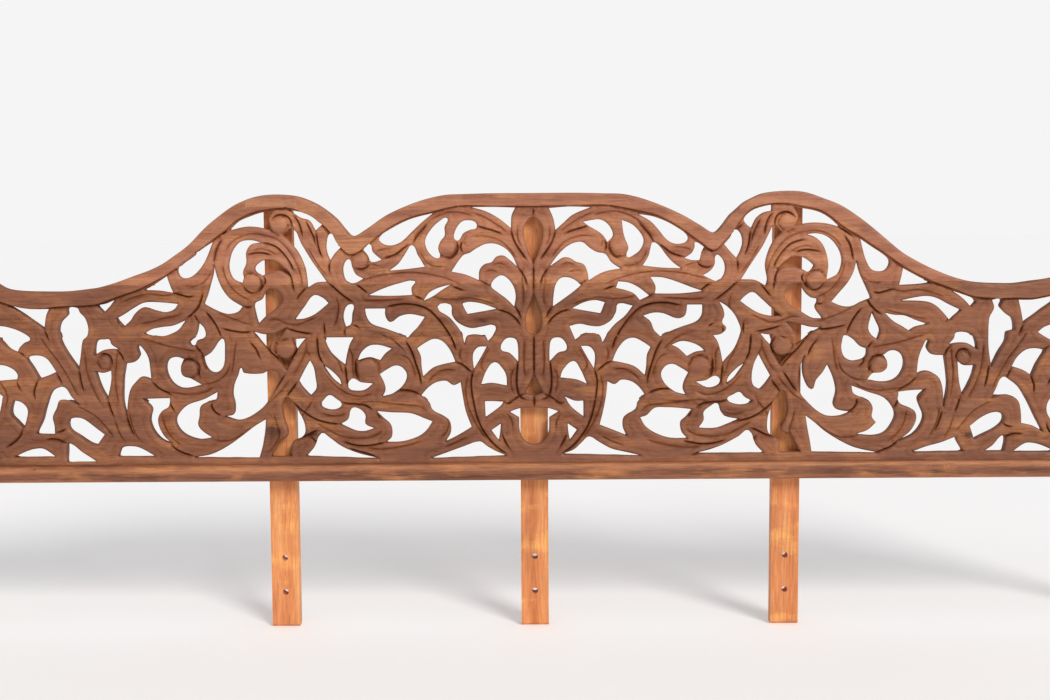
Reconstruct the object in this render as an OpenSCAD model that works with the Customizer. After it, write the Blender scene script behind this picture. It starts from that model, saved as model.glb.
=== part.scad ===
// Pierced and carved daybed headrest: edge-glued teak boards on a bottom rail,
// closed by an end stile at each side and screwed to five upright posts behind.
// Millimetres. +X runs along the headrest, the carved face looks to -Y, +Z is up.
// The origin is the middle of the centre post's bolt pair, on the post's front face.

/* [Panel] */
// Overall length over the two end stiles
panel_w = 1830; // [1830:1:1900]
// Height of the underside of the bottom rail above the bolt pair
panel_z = 140; // [80:5:200]
// Thickness of the boards at the plain crest band
board_t = 24; // [20:1:36]
// Depth by which the carved field is lowered from the crest band
field_drop = 4; // [2:1:8]

/* [Bottom rail and stiles] */
// Height of the bottom rail
rail_h = 24; // [18:1:30]
// Depth of the bottom rail and the end stiles
rail_t = 28; // [24:1:44]
// Width of an end stile
stile_w = 40; // [30:1:60]
// Height of an end stile
stile_h = 394; // [380:1:420]
// Radius worked on the front edges of the rail
rail_round = 5; // [2:1:10]

/* [Posts] */
// Width of an upright post
post_w = 39; // [30:1:50]
// Depth of an upright post
post_t = 20; // [16:1:30]
// Distance from the centre post to the next one
post_pitch = 357; // [300:1:400]
// Length of the posts below the bolt pair
post_foot = 50; // [40:5:90]
// Height of the post tops above the underside of the rail
post_top = 390; // [300:1:392]
// Diameter of the two bolt holes in each post
bolt_d = 8.5; // [6.5:0.5:10.5]
// Height between the two bolt holes
bolt_gap = 50; // [30:5:80]

/* [Seams] */
// Height of the seam between the low and the middle board
seam_1 = 112; // [100:1:120]
// Height of the seam between the middle and the upper board
seam_2 = 203; // [190:1:215]
// Height of the seam under the crest boards
seam_3 = 276; // [270:1:300]

/* [Fasteners] */
// Shank diameter of the wood screws
screw_d = 4; // [3:0.5:6]
// Length of the wood screws
screw_l = 34; // [28:1:46]
// Diameter of the dowels
dowel_d = 8; // [6:1:10]
// Depth of each dowel in either part
dowel_half = 18; // [12:1:24]

/* [Hidden] */
$fn = 32;
// straight steps along each curved stretch of an outline
steps = 3;
// running clearance around a shank or a dowel
ease = 0.1;
end_u = panel_w / 2;
stile_u = end_u - stile_w;
field_t = board_t - field_drop;
post_end = end_u - stile_w / 2;
head_d = 2 * screw_d;
head_h = (head_d - screw_d) / 2;
// drop left between the foot of the crest band and the openings under it
ledge = 2;
// the screws' pointed end, and the slot width and depth of their cross recess
tip_l = 6;
slot_w = 1;
slot_deep = 1.5;
// bevel on the ends of the posts and radius on the top corners of the stiles
post_bevel = 3;
stile_round = 14;
// the hump cap lies between these two offsets from the middle, on the left hump
cap_in = 326;
cap_out = 398;
cap_z = 384;
// the crest boards end where the dip falls below their seam
crest_end = 680;
panel_top = 410;
post_end_top = 376;

// Screw heights above the underside of the rail, one list for each kind of post
screws_mid = [12, 40, 175, 284, 378];
screws_side = [12, 188, 230, 322];
screws_end = [30, 110, 190, 260, 330];
screws_at = concat(
    [for (z = screws_mid) [0, z]],
    [for (s = [-1, 1]) for (z = screws_side) [s * post_pitch, z]]
);
// Distances from the middle of the dowels that join the low board to the rail
rail_dowels = [25, 182, 505, 843];
// Heights of the dowels from a stile into the rail and the boards
stile_dowels = [12, 85, 163, 211, 372];

// Outlines below are [distance from the middle, height above the underside of the rail];
// a third value of 1 marks a sharp corner. The two halves were cut by eye and differ a little.
crest_top_left = [
    [0, 401, 1], [60, 401], [100, 400], [122, 399], [150, 393], [176, 384], [204, 371],
    [232, 352], [250, 343], [260, 351], [273, 367], [296, 385], [314, 394], [330, 399],
    [350, 401], [373, 400], [394, 395], [414, 386], [433, 373], [454, 356], [478, 332],
    [497, 318], [515, 306], [534, 297], [554, 290], [579, 281], [604, 274], [624, 271],
    [654, 268], [684, 268], [714, 269], [735, 272], [748, 279], [765, 294], [785, 317],
    [805, 341], [828, 365], [850, 381], [875, 390, 1]
];
crest_under_left = [
    [0, 381, 1], [60, 382], [104, 382], [140, 374], [172, 366], [197, 354], [213, 343],
    [238, 322], [254, 316], [268, 327], [285, 351], [306, 368], [325, 377], [341, 381],
    [378, 377], [394, 372], [410, 364], [424, 352], [447, 335], [465, 322], [497, 297],
    [513, 287], [546, 270], [566, 263], [589, 255], [611, 248], [654, 246], [694, 243],
    [714, 245], [744, 254], [762, 264], [782, 284], [802, 308], [822, 332], [846, 352],
    [875, 364, 1]
];

crest_top_right = [
    [0, 401, 1], [60, 401], [100, 400], [124, 399], [150, 393], [180, 382], [208, 369],
    [232, 355], [250, 345], [260, 352], [273, 369], [282, 377], [292, 386], [303, 392],
    [320, 399], [350, 402], [376, 400], [400, 392], [425, 382], [450, 366], [472, 349],
    [491, 333], [512, 316], [536, 302], [559, 291], [582, 282], [604, 276], [627, 273],
    [650, 272], [672, 272], [695, 275], [718, 278], [738, 283], [756, 292], [772, 304],
    [790, 323], [808, 343], [828, 365], [850, 381], [875, 390, 1]
];
crest_under_right = [
    [0, 381, 1], [60, 382], [104, 382], [142, 375], [168, 369], [184, 362], [200, 353],
    [213, 344], [234, 329], [250, 319], [264, 331], [276, 344], [290, 364], [303, 376],
    [318, 381], [330, 383], [350, 383], [378, 378], [395, 374], [410, 366], [426, 353],
    [440, 344], [454, 336], [470, 325], [488, 313], [514, 295], [552, 275], [584, 263],
    [611, 253], [640, 250], [676, 250], [694, 250], [712, 253], [735, 258], [755, 266],
    [775, 281], [795, 303], [820, 332], [846, 352], [875, 364, 1]
];

// Openings alike in both halves
holes_both = [
    [[724, 146, 1], [723, 152], [728, 159], [740, 165], [755, 166], [772, 163], [782, 155],
     [772, 146], [755, 144], [738, 145]],
    [[731, 36, 1], [716, 43], [703, 47], [690, 47], [674, 36, 1]],
    [[194, 162], [205, 157], [216, 150, 1], [210, 138], [208, 128], [212, 119, 1], [198, 123],
     [184, 134], [178, 148], [184, 159]],
    [[163, 186, 1], [153, 193], [140, 199], [128, 196], [117, 183], [110, 167, 1], [126, 164],
     [141, 159], [155, 147, 1], [157, 160], [158, 175]],
    [[294, 163, 1], [283, 155], [272, 143], [270, 135, 1], [280, 143], [289, 155]],
    [[66, 188, 1], [78, 187], [85, 177], [84, 157, 1], [76, 170]],
    [[30, 200], [40, 198], [46, 184], [34, 179], [22, 167, 1], [22, 182], [24, 196]],
    [[47, 79, 1], [48, 67], [50, 56, 1], [60, 70, 1]]
];

// Left half: openings around the dip between two humps
holes_left_dip = [
    [[730, 250, 1], [716, 246], [700, 244], [676, 244, 1], [680, 235], [683, 217, 1], [700, 229],
     [715, 240]],
    [[722, 184, 1], [735, 190], [744, 200], [750, 204], [770, 204], [785, 210], [780, 218],
     [760, 221], [740, 220], [722, 215], [706, 206], [704, 201], [712, 197], [719, 190]],
    [[709, 174, 1], [704, 178], [696, 179], [688, 178], [680, 173], [669, 156, 1], [680, 151],
     [693, 147, 1], [701, 162]],
    [[649, 245], [636, 245], [633, 239], [626, 231], [622, 217], [624, 206], [630, 200],
     [634, 178], [637, 160, 1], [650, 179], [660, 198], [663, 214], [660, 225], [650, 235]],
    [[608, 249, 1], [596, 251], [584, 256, 1], [591, 247], [599, 239, 1]],
    [[582, 230, 1], [571, 236], [560, 243], [546, 251], [535, 253], [515, 252], [496, 250, 1],
     [501, 243], [513, 239], [528, 242], [543, 246], [556, 237], [562, 228], [572, 219, 1]],
    [[543, 209, 1], [533, 215], [518, 218], [503, 220], [486, 227, 1], [495, 215], [503, 210],
     [514, 206], [526, 205]],
    [[609, 200], [600, 201], [593, 201], [590, 194], [580, 187, 1], [590, 188], [602, 186],
     [614, 179, 1], [613, 190]],
    [[613, 156, 1], [603, 154], [592, 157, 1], [592, 146], [594, 134], [598, 118, 1], [604, 129],
     [609, 142]],
    [[553, 192], [545, 186], [539, 174], [537, 158], [536, 145, 1], [548, 149], [557, 142],
     [565, 132], [569, 118], [572, 94, 1], [576, 115], [575, 140], [571, 167, 1], [557, 170],
     [551, 178]],
    [[548, 117, 1], [511, 118, 1], [513, 106], [522, 100], [528, 90], [527, 78], [520, 64],
     [510, 54, 1], [524, 60], [535, 73], [539, 87], [536, 103]],
    [[699, 69, 1], [690, 88], [684, 108], [679, 122], [670, 132], [658, 134], [648, 120],
     [638, 110, 1], [652, 115], [665, 116], [670, 105], [676, 92], [674, 80], [674, 68, 1]],
    [[730, 116, 1], [719, 113], [711, 103], [713, 88], [717, 77, 1], [727, 88], [734, 97]],
    [[652, 88], [641, 91], [631, 88], [618, 78], [604, 67, 1], [609, 60], [614, 53, 1], [625, 56],
     [640, 66], [653, 76]],
    [[655, 54], [648, 52], [636, 42], [616, 29, 1], [658, 28, 1], [657, 42]],
    [[585, 36, 1], [579, 48], [565, 50], [553, 47], [534, 36, 1]]
];

// Left half: openings around the large spiral under the hump
holes_left_hump = [
    [[541, 270, 1], [525, 279], [510, 289, 1], [507, 279], [502, 266, 1], [520, 269]],
    [[445, 336, 1], [456, 329], [480, 312], [492, 303], [495, 295], [489, 287], [478, 287],
     [466, 296], [455, 312]],
    [[444, 304, 1], [440, 287], [433, 270], [423, 257], [406, 246, 1], [412, 239], [426, 236],
     [440, 240], [459, 250, 1], [452, 268], [446, 290]],
    [[379, 335, 1], [391, 338], [406, 336], [416, 326], [422, 312], [423, 298], [417, 285],
     [405, 279, 1], [403, 285], [404, 294], [399, 307], [399, 321], [392, 332]],
    [[421, 352, 1], [408, 364], [392, 371], [377, 376], [361, 379, 1], [366, 366], [364, 352, 1],
     [380, 356], [398, 357]],
    [[338, 380, 1], [320, 376], [306, 370], [293, 359, 1], [302, 351, 1], [310, 365], [322, 369]],
    [[334, 354], [322, 333], [308, 309], [288, 280, 1], [302, 279], [314, 272, 1], [315, 288],
     [318, 303], [328, 324], [347, 345, 1]],
    [[387, 298], [379, 308], [368, 311], [355, 307], [345, 297], [338, 288, 1], [352, 296],
     [364, 294], [377, 289, 1]],
    [[388, 250], [378, 256], [371, 268], [358, 269], [350, 260], [351, 252], [362, 241],
     [374, 232], [384, 222, 1], [387, 236]],
    [[286, 250, 1], [293, 257], [306, 261], [318, 247], [332, 228, 1], [320, 229], [305, 235]],
    [[467, 224, 1], [460, 216], [459, 204], [470, 199], [474, 192], [481, 196], [471, 206]],
    [[490, 173, 1], [500, 176], [510, 172], [514, 158], [508, 142], [497, 134], [483, 133],
     [466, 137, 1], [480, 145], [492, 150], [494, 163]],
    [[438, 200], [433, 200], [432, 184], [434, 164], [442, 155], [453, 156], [459, 164],
     [462, 175, 1], [450, 183]],
    [[410, 160], [406, 153], [380, 152], [368, 157], [356, 149], [360, 136], [366, 124],
     [374, 112], [382, 103], [400, 91], [416, 87], [434, 92, 1], [421, 95], [419, 108],
     [422, 122], [420, 136], [414, 150]],
    [[444, 126, 1], [446, 116], [459, 112], [468, 106], [470, 92], [472, 80], [466, 71],
     [453, 62, 1], [470, 60], [486, 64], [498, 73], [503, 86], [495, 100], [484, 109],
     [463, 116]],
    [[377, 87, 1], [378, 72], [380, 60], [382, 50], [387, 33, 1], [478, 34, 1], [455, 38],
     [432, 49], [409, 65], [392, 78]],
    [[348, 118], [353, 104], [350, 86], [345, 68], [349, 61], [358, 56], [362, 47], [369, 35, 1],
     [342, 35, 1], [341, 50], [338, 57], [328, 61], [322, 68], [323, 82], [329, 95], [338, 110]],
    [[313, 170, 1], [320, 158], [329, 141, 1], [323, 132], [313, 121, 1], [305, 131], [306, 146],
     [308, 159]],
    [[336, 200, 1], [319, 201, 1], [325, 194], [331, 186, 1]],
    [[391, 211, 1], [376, 207], [362, 208], [345, 216, 1], [354, 204], [366, 198], [369, 184, 1],
     [380, 197]],
    [[356, 174, 1], [347, 171], [337, 172, 1], [346, 157, 1]]
];

// Left half: openings between the hump and the middle
holes_left_inner = [
    [[281, 347], [274, 337], [268, 327, 1], [276, 319], [282, 310, 1], [286, 320], [287, 333]],
    [[256, 311], [263, 304], [264, 292], [259, 280], [249, 278], [237, 284, 1], [247, 290],
     [252, 300]],
    [[237, 325, 1], [227, 332], [223, 321], [211, 310, 1], [225, 307], [230, 316]],
    [[214, 340], [197, 353], [170, 366], [139, 374, 1], [155, 361], [170, 347], [183, 335],
     [196, 330], [208, 332]],
    [[168, 330], [161, 317], [151, 300, 1], [176, 297], [200, 295, 1], [187, 305], [176, 321]],
    [[119, 367], [131, 362], [143, 350], [150, 336], [147, 323], [138, 313], [130, 313],
     [132, 325], [129, 335], [123, 343], [123, 355]],
    [[80, 361], [90, 364], [99, 362], [107, 352], [110, 340], [104, 336], [97, 346], [87, 351],
     [79, 353]],
    [[85, 382, 1], [54, 382], [25, 381, 1], [30, 370], [31, 353, 1], [47, 366], [65, 376]],
    [[52, 331], [66, 331], [79, 325], [88, 319], [98, 315], [114, 293, 1], [95, 289],
     [76, 281, 1], [75, 295], [68, 303], [58, 306], [52, 313], [42, 315], [33, 309],
     [23, 300, 1], [28, 312], [38, 324]],
    [[42, 287], [52, 284], [59, 273], [50, 264], [38, 255], [27, 244, 1], [25, 259], [29, 274]],
    [[165, 280], [187, 277], [209, 270], [229, 261, 1], [209, 260], [190, 260], [169, 261, 1],
     [170, 271]],
    [[115, 275, 1], [131, 271], [145, 264], [153, 253, 1], [140, 259], [127, 268]],
    [[251, 247], [259, 247], [264, 238], [265, 228], [262, 217, 1], [255, 221], [253, 235]],
    [[235, 242, 1], [207, 242, 1], [207, 232], [200, 223], [187, 231], [172, 234], [152, 230, 1],
     [162, 216], [170, 208], [176, 201, 1], [188, 207], [209, 215], [226, 221], [233, 231]],
    [[134, 244], [116, 247], [114, 233], [106, 222], [88, 214], [72, 216], [54, 217], [57, 204],
     [64, 196, 1], [68, 203], [92, 204], [97, 193, 1], [101, 208], [117, 229]],
    [[98, 249], [76, 249], [52, 241, 1], [68, 238], [92, 234, 1], [96, 241]],
    [[292, 202, 1], [252, 202, 1], [257, 193], [261, 180], [264, 164, 1], [273, 171], [283, 181],
     [289, 192]],
    [[246, 170, 1], [241, 181], [230, 190], [216, 191], [199, 186, 1], [208, 179], [215, 170, 1],
     [230, 174]],
    [[255, 144], [243, 139], [226, 137, 1], [236, 129], [248, 127], [260, 131]],
    [[287, 121], [278, 116], [270, 108], [276, 102], [288, 101], [299, 107], [295, 114]],
    [[256, 102], [245, 101], [237, 92], [237, 80], [225, 74, 1], [238, 70], [252, 71],
     [272, 80, 1], [261, 87]],
    [[320, 35, 1], [309, 48], [299, 67], [288, 61], [272, 49], [250, 39], [219, 31, 1]],
    [[221, 98, 1], [200, 96], [176, 95], [165, 92], [156, 88], [143, 83, 1], [152, 70],
     [165, 61], [185, 55], [208, 54, 1], [200, 62], [201, 78], [211, 88]],
    [[158, 120, 1], [148, 131], [137, 138], [123, 140], [113, 134], [103, 138, 1], [100, 118],
     [96, 97], [88, 75, 1], [106, 64], [124, 55, 1], [117, 68], [118, 82], [126, 90], [142, 99],
     [147, 110]],
    [[145, 31, 1], [122, 39], [100, 47], [77, 54], [66, 47], [54, 40], [40, 34, 1]],
    [[69, 111, 1], [56, 111], [42, 110, 1], [50, 102], [68, 89, 1]],
    [[55, 166], [66, 155], [74, 135, 1], [60, 137], [38, 133, 1], [39, 147], [44, 157]]
];

// Right half: openings around the dip between two humps
holes_right_dip = [
    [[676, 249, 1], [694, 249], [712, 252], [735, 257, 1], [718, 243], [700, 230], [683, 217, 1],
     [680, 233]],
    [[704, 204, 1], [713, 211], [728, 216], [750, 221], [770, 221], [784, 214], [784, 206],
     [770, 202], [750, 204], [740, 198], [722, 193, 1], [713, 198]],
    [[669, 156, 1], [676, 169], [688, 179], [702, 181], [715, 178, 1], [706, 163], [697, 143, 1],
     [684, 151]],
    [[639, 249, 1], [652, 250], [650, 240], [658, 230], [668, 222], [671, 208, 1], [662, 205],
     [659, 192], [651, 178], [640, 156, 1], [636, 180], [635, 205], [636, 225], [642, 238]],
    [[584, 262, 1], [598, 257], [611, 252], [616, 247, 1], [609, 240, 1], [602, 248], [594, 255]],
    [[512, 249, 1], [530, 253], [548, 255], [562, 252], [577, 244], [596, 235, 1], [586, 227],
     [581, 221, 1], [572, 231], [562, 241], [550, 247], [530, 249]],
    [[490, 232, 1], [503, 229], [517, 228], [532, 222], [549, 216, 1], [534, 213], [524, 207, 1],
     [513, 214], [501, 221]],
    [[590, 204], [610, 202], [616, 194], [619, 181, 1], [605, 189], [593, 190], [580, 188, 1],
     [587, 196]],
    [[593, 163, 1], [601, 158], [617, 158, 1], [613, 142], [607, 128], [600, 117, 1], [596, 133],
     [594, 149]],
    [[551, 194], [549, 183], [555, 174], [574, 172, 1], [577, 150], [579, 126], [574, 100, 1],
     [573, 122], [568, 139], [559, 147], [548, 151], [536, 147, 1], [538, 168], [544, 185]],
    [[511, 121, 1], [528, 123], [548, 124, 1], [538, 112], [541, 99], [546, 86], [542, 72],
     [530, 60], [512, 52, 1], [528, 65], [536, 80], [535, 92], [526, 99], [512, 106]],
    [[656, 141], [648, 126], [641, 111, 1], [654, 116], [668, 115], [679, 107], [683, 92],
     [684, 76, 1], [700, 72], [714, 64, 1], [703, 84], [692, 106], [680, 125], [667, 136]],
    [[738, 116, 1], [727, 113], [720, 103], [720, 90], [727, 78, 1], [736, 88], [742, 98]],
    [[612, 72, 1], [626, 83], [640, 90], [652, 91], [659, 84], [656, 75], [640, 65], [618, 54, 1]],
    [[634, 37, 1], [645, 45], [657, 58], [662, 54], [660, 37, 1]],
    [[532, 36, 1], [550, 43], [572, 49], [592, 57, 1], [595, 48], [602, 37, 1]]
];

// Right half: openings around the large spiral under the hump
holes_right_hump = [
    [[514, 294, 1], [532, 284], [552, 274, 1], [530, 272], [509, 271, 1], [512, 283]],
    [[454, 335, 1], [470, 324], [488, 312], [495, 303], [490, 293], [480, 290], [470, 293],
     [463, 304], [458, 319]],
    [[449, 304, 1], [454, 287], [462, 270], [470, 253, 1], [456, 248], [444, 242], [430, 242],
     [415, 248, 1], [426, 261], [437, 274], [445, 289]],
    [[380, 342, 1], [392, 343], [405, 340], [417, 331], [426, 317], [429, 303], [424, 288],
     [415, 282], [408, 279, 1], [409, 288], [410, 300], [407, 316], [401, 329], [391, 338]],
    [[361, 380, 1], [378, 377], [395, 373], [410, 365], [425, 352, 1], [405, 357], [385, 358],
     [364, 355, 1], [367, 367]],
    [[292, 364], [303, 375], [316, 380], [330, 383, 1], [330, 375, 1], [318, 372], [309, 365],
     [302, 351, 1], [295, 357]],
    [[334, 354], [345, 345, 1], [334, 334], [326, 318], [322, 300], [325, 280], [323, 271, 1],
     [308, 279], [289, 280, 1], [303, 302], [318, 325], [328, 345]],
    [[339, 294, 1], [348, 303], [360, 311], [374, 310], [385, 303], [390, 298, 1], [382, 290],
     [375, 293], [362, 297], [350, 297]],
    [[371, 274, 1], [377, 262], [386, 254], [395, 251], [392, 240], [402, 225, 1], [388, 226],
     [374, 234], [360, 242], [351, 252], [350, 262], [358, 271]],
    [[288, 250, 1], [295, 257], [305, 262], [316, 254], [329, 242], [345, 229, 1], [330, 229],
     [314, 233], [300, 241]],
    [[472, 232, 1], [478, 219], [483, 207], [480, 195, 1], [471, 202], [467, 212]],
    [[489, 173, 1], [498, 179], [508, 178], [516, 169], [517, 155], [510, 143], [498, 137],
     [484, 136], [467, 139, 1], [474, 147], [487, 149], [494, 155], [494, 165]],
    [[434, 201], [446, 195], [455, 186], [465, 182, 1], [464, 171], [455, 167], [443, 166],
     [434, 171], [430, 182], [431, 194]],
    [[378, 172, 1], [375, 158], [378, 140], [389, 125], [395, 138], [404, 149], [410, 160, 1],
     [418, 143], [423, 122], [419, 104], [424, 97], [444, 93, 1], [428, 88], [411, 88],
     [397, 95], [385, 106], [374, 119], [371, 134], [371, 152]],
    [[445, 130, 1], [468, 121], [490, 113], [501, 101], [506, 88], [502, 75], [492, 64],
     [477, 60], [453, 62, 1], [468, 67], [480, 78, 1], [474, 86], [475, 99], [468, 110],
     [448, 119]],
    [[381, 88, 1], [384, 70], [388, 50], [390, 37, 1], [484, 35, 1], [452, 42], [430, 52],
     [408, 66], [394, 78]],
    [[349, 124], [354, 110], [355, 95], [351, 80], [346, 70], [350, 65], [361, 60], [366, 50],
     [374, 37, 1], [344, 37, 1], [345, 50], [339, 58], [330, 63], [327, 74], [329, 90],
     [335, 106], [342, 119]],
    [[314, 175, 1], [322, 160], [331, 144, 1], [324, 135], [316, 126, 1], [307, 132], [305, 145],
     [308, 162]],
    [[332, 202, 1], [317, 204, 1], [324, 195], [331, 188, 1]],
    [[400, 212, 1], [386, 213], [370, 217], [353, 220, 1], [361, 211], [367, 200], [366, 188, 1],
     [376, 196], [388, 206]],
    [[357, 175, 1], [345, 173], [334, 178, 1], [343, 161, 1]]
];

// Right half: openings between the hump and the middle
holes_right_inner = [
    [[280, 349], [287, 344], [290, 332], [287, 320], [282, 310, 1], [274, 318], [265, 329, 1],
     [273, 338]],
    [[254, 314], [262, 309], [266, 298], [264, 286], [256, 278], [246, 281], [236, 286, 1],
     [246, 292], [252, 301]],
    [[225, 332], [237, 325, 1], [233, 317], [231, 307, 1], [221, 307], [210, 310, 1], [220, 317],
     [224, 325]],
    [[146, 371, 1], [165, 368], [184, 361], [200, 352], [212, 343], [214, 335], [205, 330],
     [193, 331], [184, 337], [175, 348], [163, 361]],
    [[166, 332], [175, 327], [184, 315], [194, 304], [205, 296, 1], [178, 297], [152, 300, 1],
     [160, 313], [163, 325]],
    [[123, 363, 1], [137, 357], [148, 346], [153, 335], [149, 323], [140, 315], [130, 312],
     [132, 325], [128, 336], [125, 346]],
    [[69, 361, 1], [80, 363], [92, 364], [102, 359], [109, 349], [110, 341], [103, 333, 1],
     [97, 342], [88, 349], [79, 354]],
    [[22, 380, 1], [50, 382], [79, 381, 1], [55, 371], [42, 360], [31, 350, 1], [28, 366]],
    [[23, 300, 1], [35, 316], [50, 329], [67, 333], [78, 325], [88, 319], [100, 316], [108, 305],
     [121, 296, 1], [103, 293], [90, 288], [77, 280, 1], [75, 292], [70, 302], [59, 306],
     [51, 311], [42, 312], [32, 306]],
    [[27, 244, 1], [40, 253], [55, 264], [66, 273, 1], [58, 280], [48, 284], [38, 283],
     [31, 274], [28, 259]],
    [[163, 284, 1], [180, 283], [200, 277], [218, 270], [235, 264, 1], [205, 261], [169, 261, 1],
     [170, 271]],
    [[118, 278, 1], [133, 276], [147, 269], [161, 258, 1], [148, 252, 1], [140, 261], [128, 266],
     [115, 269, 1]],
    [[54, 241, 1], [70, 249], [86, 252], [99, 249, 1], [96, 241], [93, 234, 1], [70, 238]],
    [[118, 247], [138, 244, 1], [127, 230], [115, 220], [105, 209], [96, 193, 1], [92, 203],
     [78, 206], [66, 203], [58, 197, 1], [50, 216, 1], [64, 219], [80, 216], [94, 216],
     [108, 224], [115, 236]],
    [[214, 245, 1], [235, 245, 1], [234, 231], [227, 222], [208, 215], [190, 208], [177, 201, 1],
     [168, 210], [163, 222], [153, 230, 1], [167, 234], [181, 233], [200, 226], [211, 230]],
    [[259, 249, 1], [270, 242], [280, 231], [286, 219], [289, 209], [285, 194], [279, 182],
     [271, 172], [264, 164, 1], [261, 180], [257, 193], [251, 202, 1], [262, 204], [269, 212],
     [263, 220], [266, 230], [264, 240]],
    [[193, 189, 1], [206, 194], [220, 192], [231, 187], [238, 181, 1], [226, 179], [214, 173, 1],
     [207, 180], [201, 185]],
    [[227, 137, 1], [241, 139], [254, 145], [261, 138], [257, 132], [243, 129]],
    [[306, 109, 1], [296, 105], [284, 105], [271, 112], [280, 119], [288, 122], [295, 115]],
    [[257, 106], [261, 96], [268, 88], [287, 84, 1], [272, 77], [257, 72], [244, 71],
     [231, 72, 1], [238, 83], [238, 94], [247, 102]],
    [[322, 36, 1], [311, 48], [301, 68], [288, 60], [270, 50], [252, 42], [230, 36, 1]],
    [[221, 98, 1], [203, 100], [184, 101], [169, 100], [158, 90], [149, 87, 1], [156, 75],
     [170, 65], [190, 58], [215, 57, 1], [207, 66], [205, 80], [213, 88]],
    [[155, 119, 1], [147, 130], [136, 138], [122, 140], [113, 134], [103, 138, 1], [101, 118],
     [97, 97], [92, 77, 1], [110, 70], [129, 62, 1], [124, 75], [126, 88], [142, 99],
     [145, 109]],
    [[150, 33, 1], [128, 38], [108, 43], [90, 53], [77, 60], [67, 52], [56, 42], [41, 36, 1]],
    [[55, 167], [64, 157], [74, 135, 1], [60, 141], [37, 144, 1], [41, 155]],
    [[69, 111, 1], [57, 111], [43, 117, 1], [52, 103], [69, 89, 1]]
];

// Openings in the outer bays, next to the stiles
holes_outer = [
    [[762, 258, 1], [780, 276], [800, 302], [814, 322, 1], [811, 300], [802, 280], [786, 265]],
    [[856, 336, 1], [842, 330], [828, 314], [819, 294], [817, 274], [823, 257], [834, 248, 1],
     [829, 262], [829, 280], [837, 300], [850, 312], [860, 316]],
    [[842, 292], [856, 294], [866, 284], [866, 266], [858, 252], [846, 252], [842, 262],
     [850, 272], [850, 282, 1]],
    [[766, 240], [782, 252], [800, 256], [808, 246], [800, 232], [782, 228]],
    [[866, 238], [845, 234], [822, 232], [806, 222], [800, 208, 1], [820, 214], [842, 222],
     [864, 222]],
    [[800, 194], [815, 199], [838, 201], [862, 200, 1], [858, 184], [842, 176], [822, 174],
     [806, 182]],
    [[798, 164], [812, 163], [828, 156], [842, 142], [838, 126], [824, 118], [810, 126],
     [800, 144]],
    [[864, 150, 1], [866, 124], [864, 100, 1], [855, 110], [853, 132]],
    [[745, 122, 1], [750, 100], [758, 84], [774, 82], [788, 96], [790, 114], [777, 128],
     [760, 131]],
    [[768, 62], [788, 70], [806, 84], [818, 100], [830, 98], [834, 82], [822, 66], [802, 54],
     [782, 50]],
    [[752, 34, 1], [778, 38], [804, 43], [832, 54], [835, 34, 1]],
    [[864, 68, 1], [864, 34, 1], [852, 36, 1], [852, 56]]
];

// Openings on the middle line, each drawn once over both halves
holes_middle = [
    [[0, 303, 1], [6, 318], [12, 336], [13, 350], [8, 363], [0, 368], [-8, 363], [-13, 350],
     [-12, 336], [-6, 318]],
    [[0, 262, 1], [4, 250], [9, 236], [11, 222], [8, 209], [0, 205], [-8, 209], [-11, 222],
     [-9, 236], [-4, 250]],
    [[0, 148, 1], [4, 140], [8, 131], [12, 123, 1], [4, 120], [-4, 120], [-12, 123, 1],
     [-8, 131], [-4, 140]],
    [[34, 96, 1], [18, 101], [-18, 101], [-34, 96, 1], [-21, 88, 1], [-20, 68], [-13, 55],
     [0, 50], [13, 55], [20, 68], [21, 88, 1]]
];

function flat(p) = [p[0], p[1]];
function heading(a, c) = (flat(c) - flat(a)) / norm(flat(c) - flat(a));
// Point t of the way along the curved stretch from b to c, whose neighbours are a and d
function along(a, b, c, d, t) =
    let (run = norm(flat(c) - flat(b)),
         m0 = (b[2] == 1 ? heading(b, c) : heading(a, c)) * run,
         m1 = (c[2] == 1 ? heading(b, c) : heading(b, d)) * run)
    (2 * t * t * t - 3 * t * t + 1) * flat(b) + (t * t * t - 2 * t * t + t) * m0
    + (3 * t * t - 2 * t * t * t) * flat(c) + (t * t * t - t * t) * m1;
function ring(p) = let (n = len(p)) [
    for (i = [0:n - 1]) for (k = [0:steps - 1])
        along(p[(i + n - 1) % n], p[i], p[(i + 1) % n], p[(i + 2) % n], k / steps)
];
// An open line through p, both ends of which are corners
function line(p) = let (n = len(p)) concat([
    for (i = [0:n - 2]) for (k = [0:steps - 1])
        along(p[max(i - 1, 0)], p[i], p[i + 1], p[min(i + 2, n - 1)], k / steps)
], [flat(p[n - 1])]);
// One line over both halves, from the left end to the right end
function across(l, r) = concat([for (i = [len(l) - 1:-1:1]) [-l[i][0], l[i][1]]], r);
function reversed(p) = [for (i = [len(p) - 1:-1:0]) p[i]];
function lowest(p) = min([for (q = p) q[1]]);
function highest(p) = max([for (q = p) q[1]]);

// Stands a drawing of the front up behind the panel's own underside: from Y = 0 to Y = -t
module stand(t) translate([0, 0, panel_z]) rotate([90, 0, 0]) linear_extrude(t) children();

module window(x0, x1, z0, z1) polygon([[x0, z0], [x1, z0], [x1, z1], [x0, z1]]);

module body_2d(x0, x1, z0, z1) {
    intersection() {
        polygon(concat(across(line(crest_top_left), line(crest_top_right)),
            [[stile_u, 0], [-stile_u, 0]]));
        window(x0, x1, z0, z1);
    }
}

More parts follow.
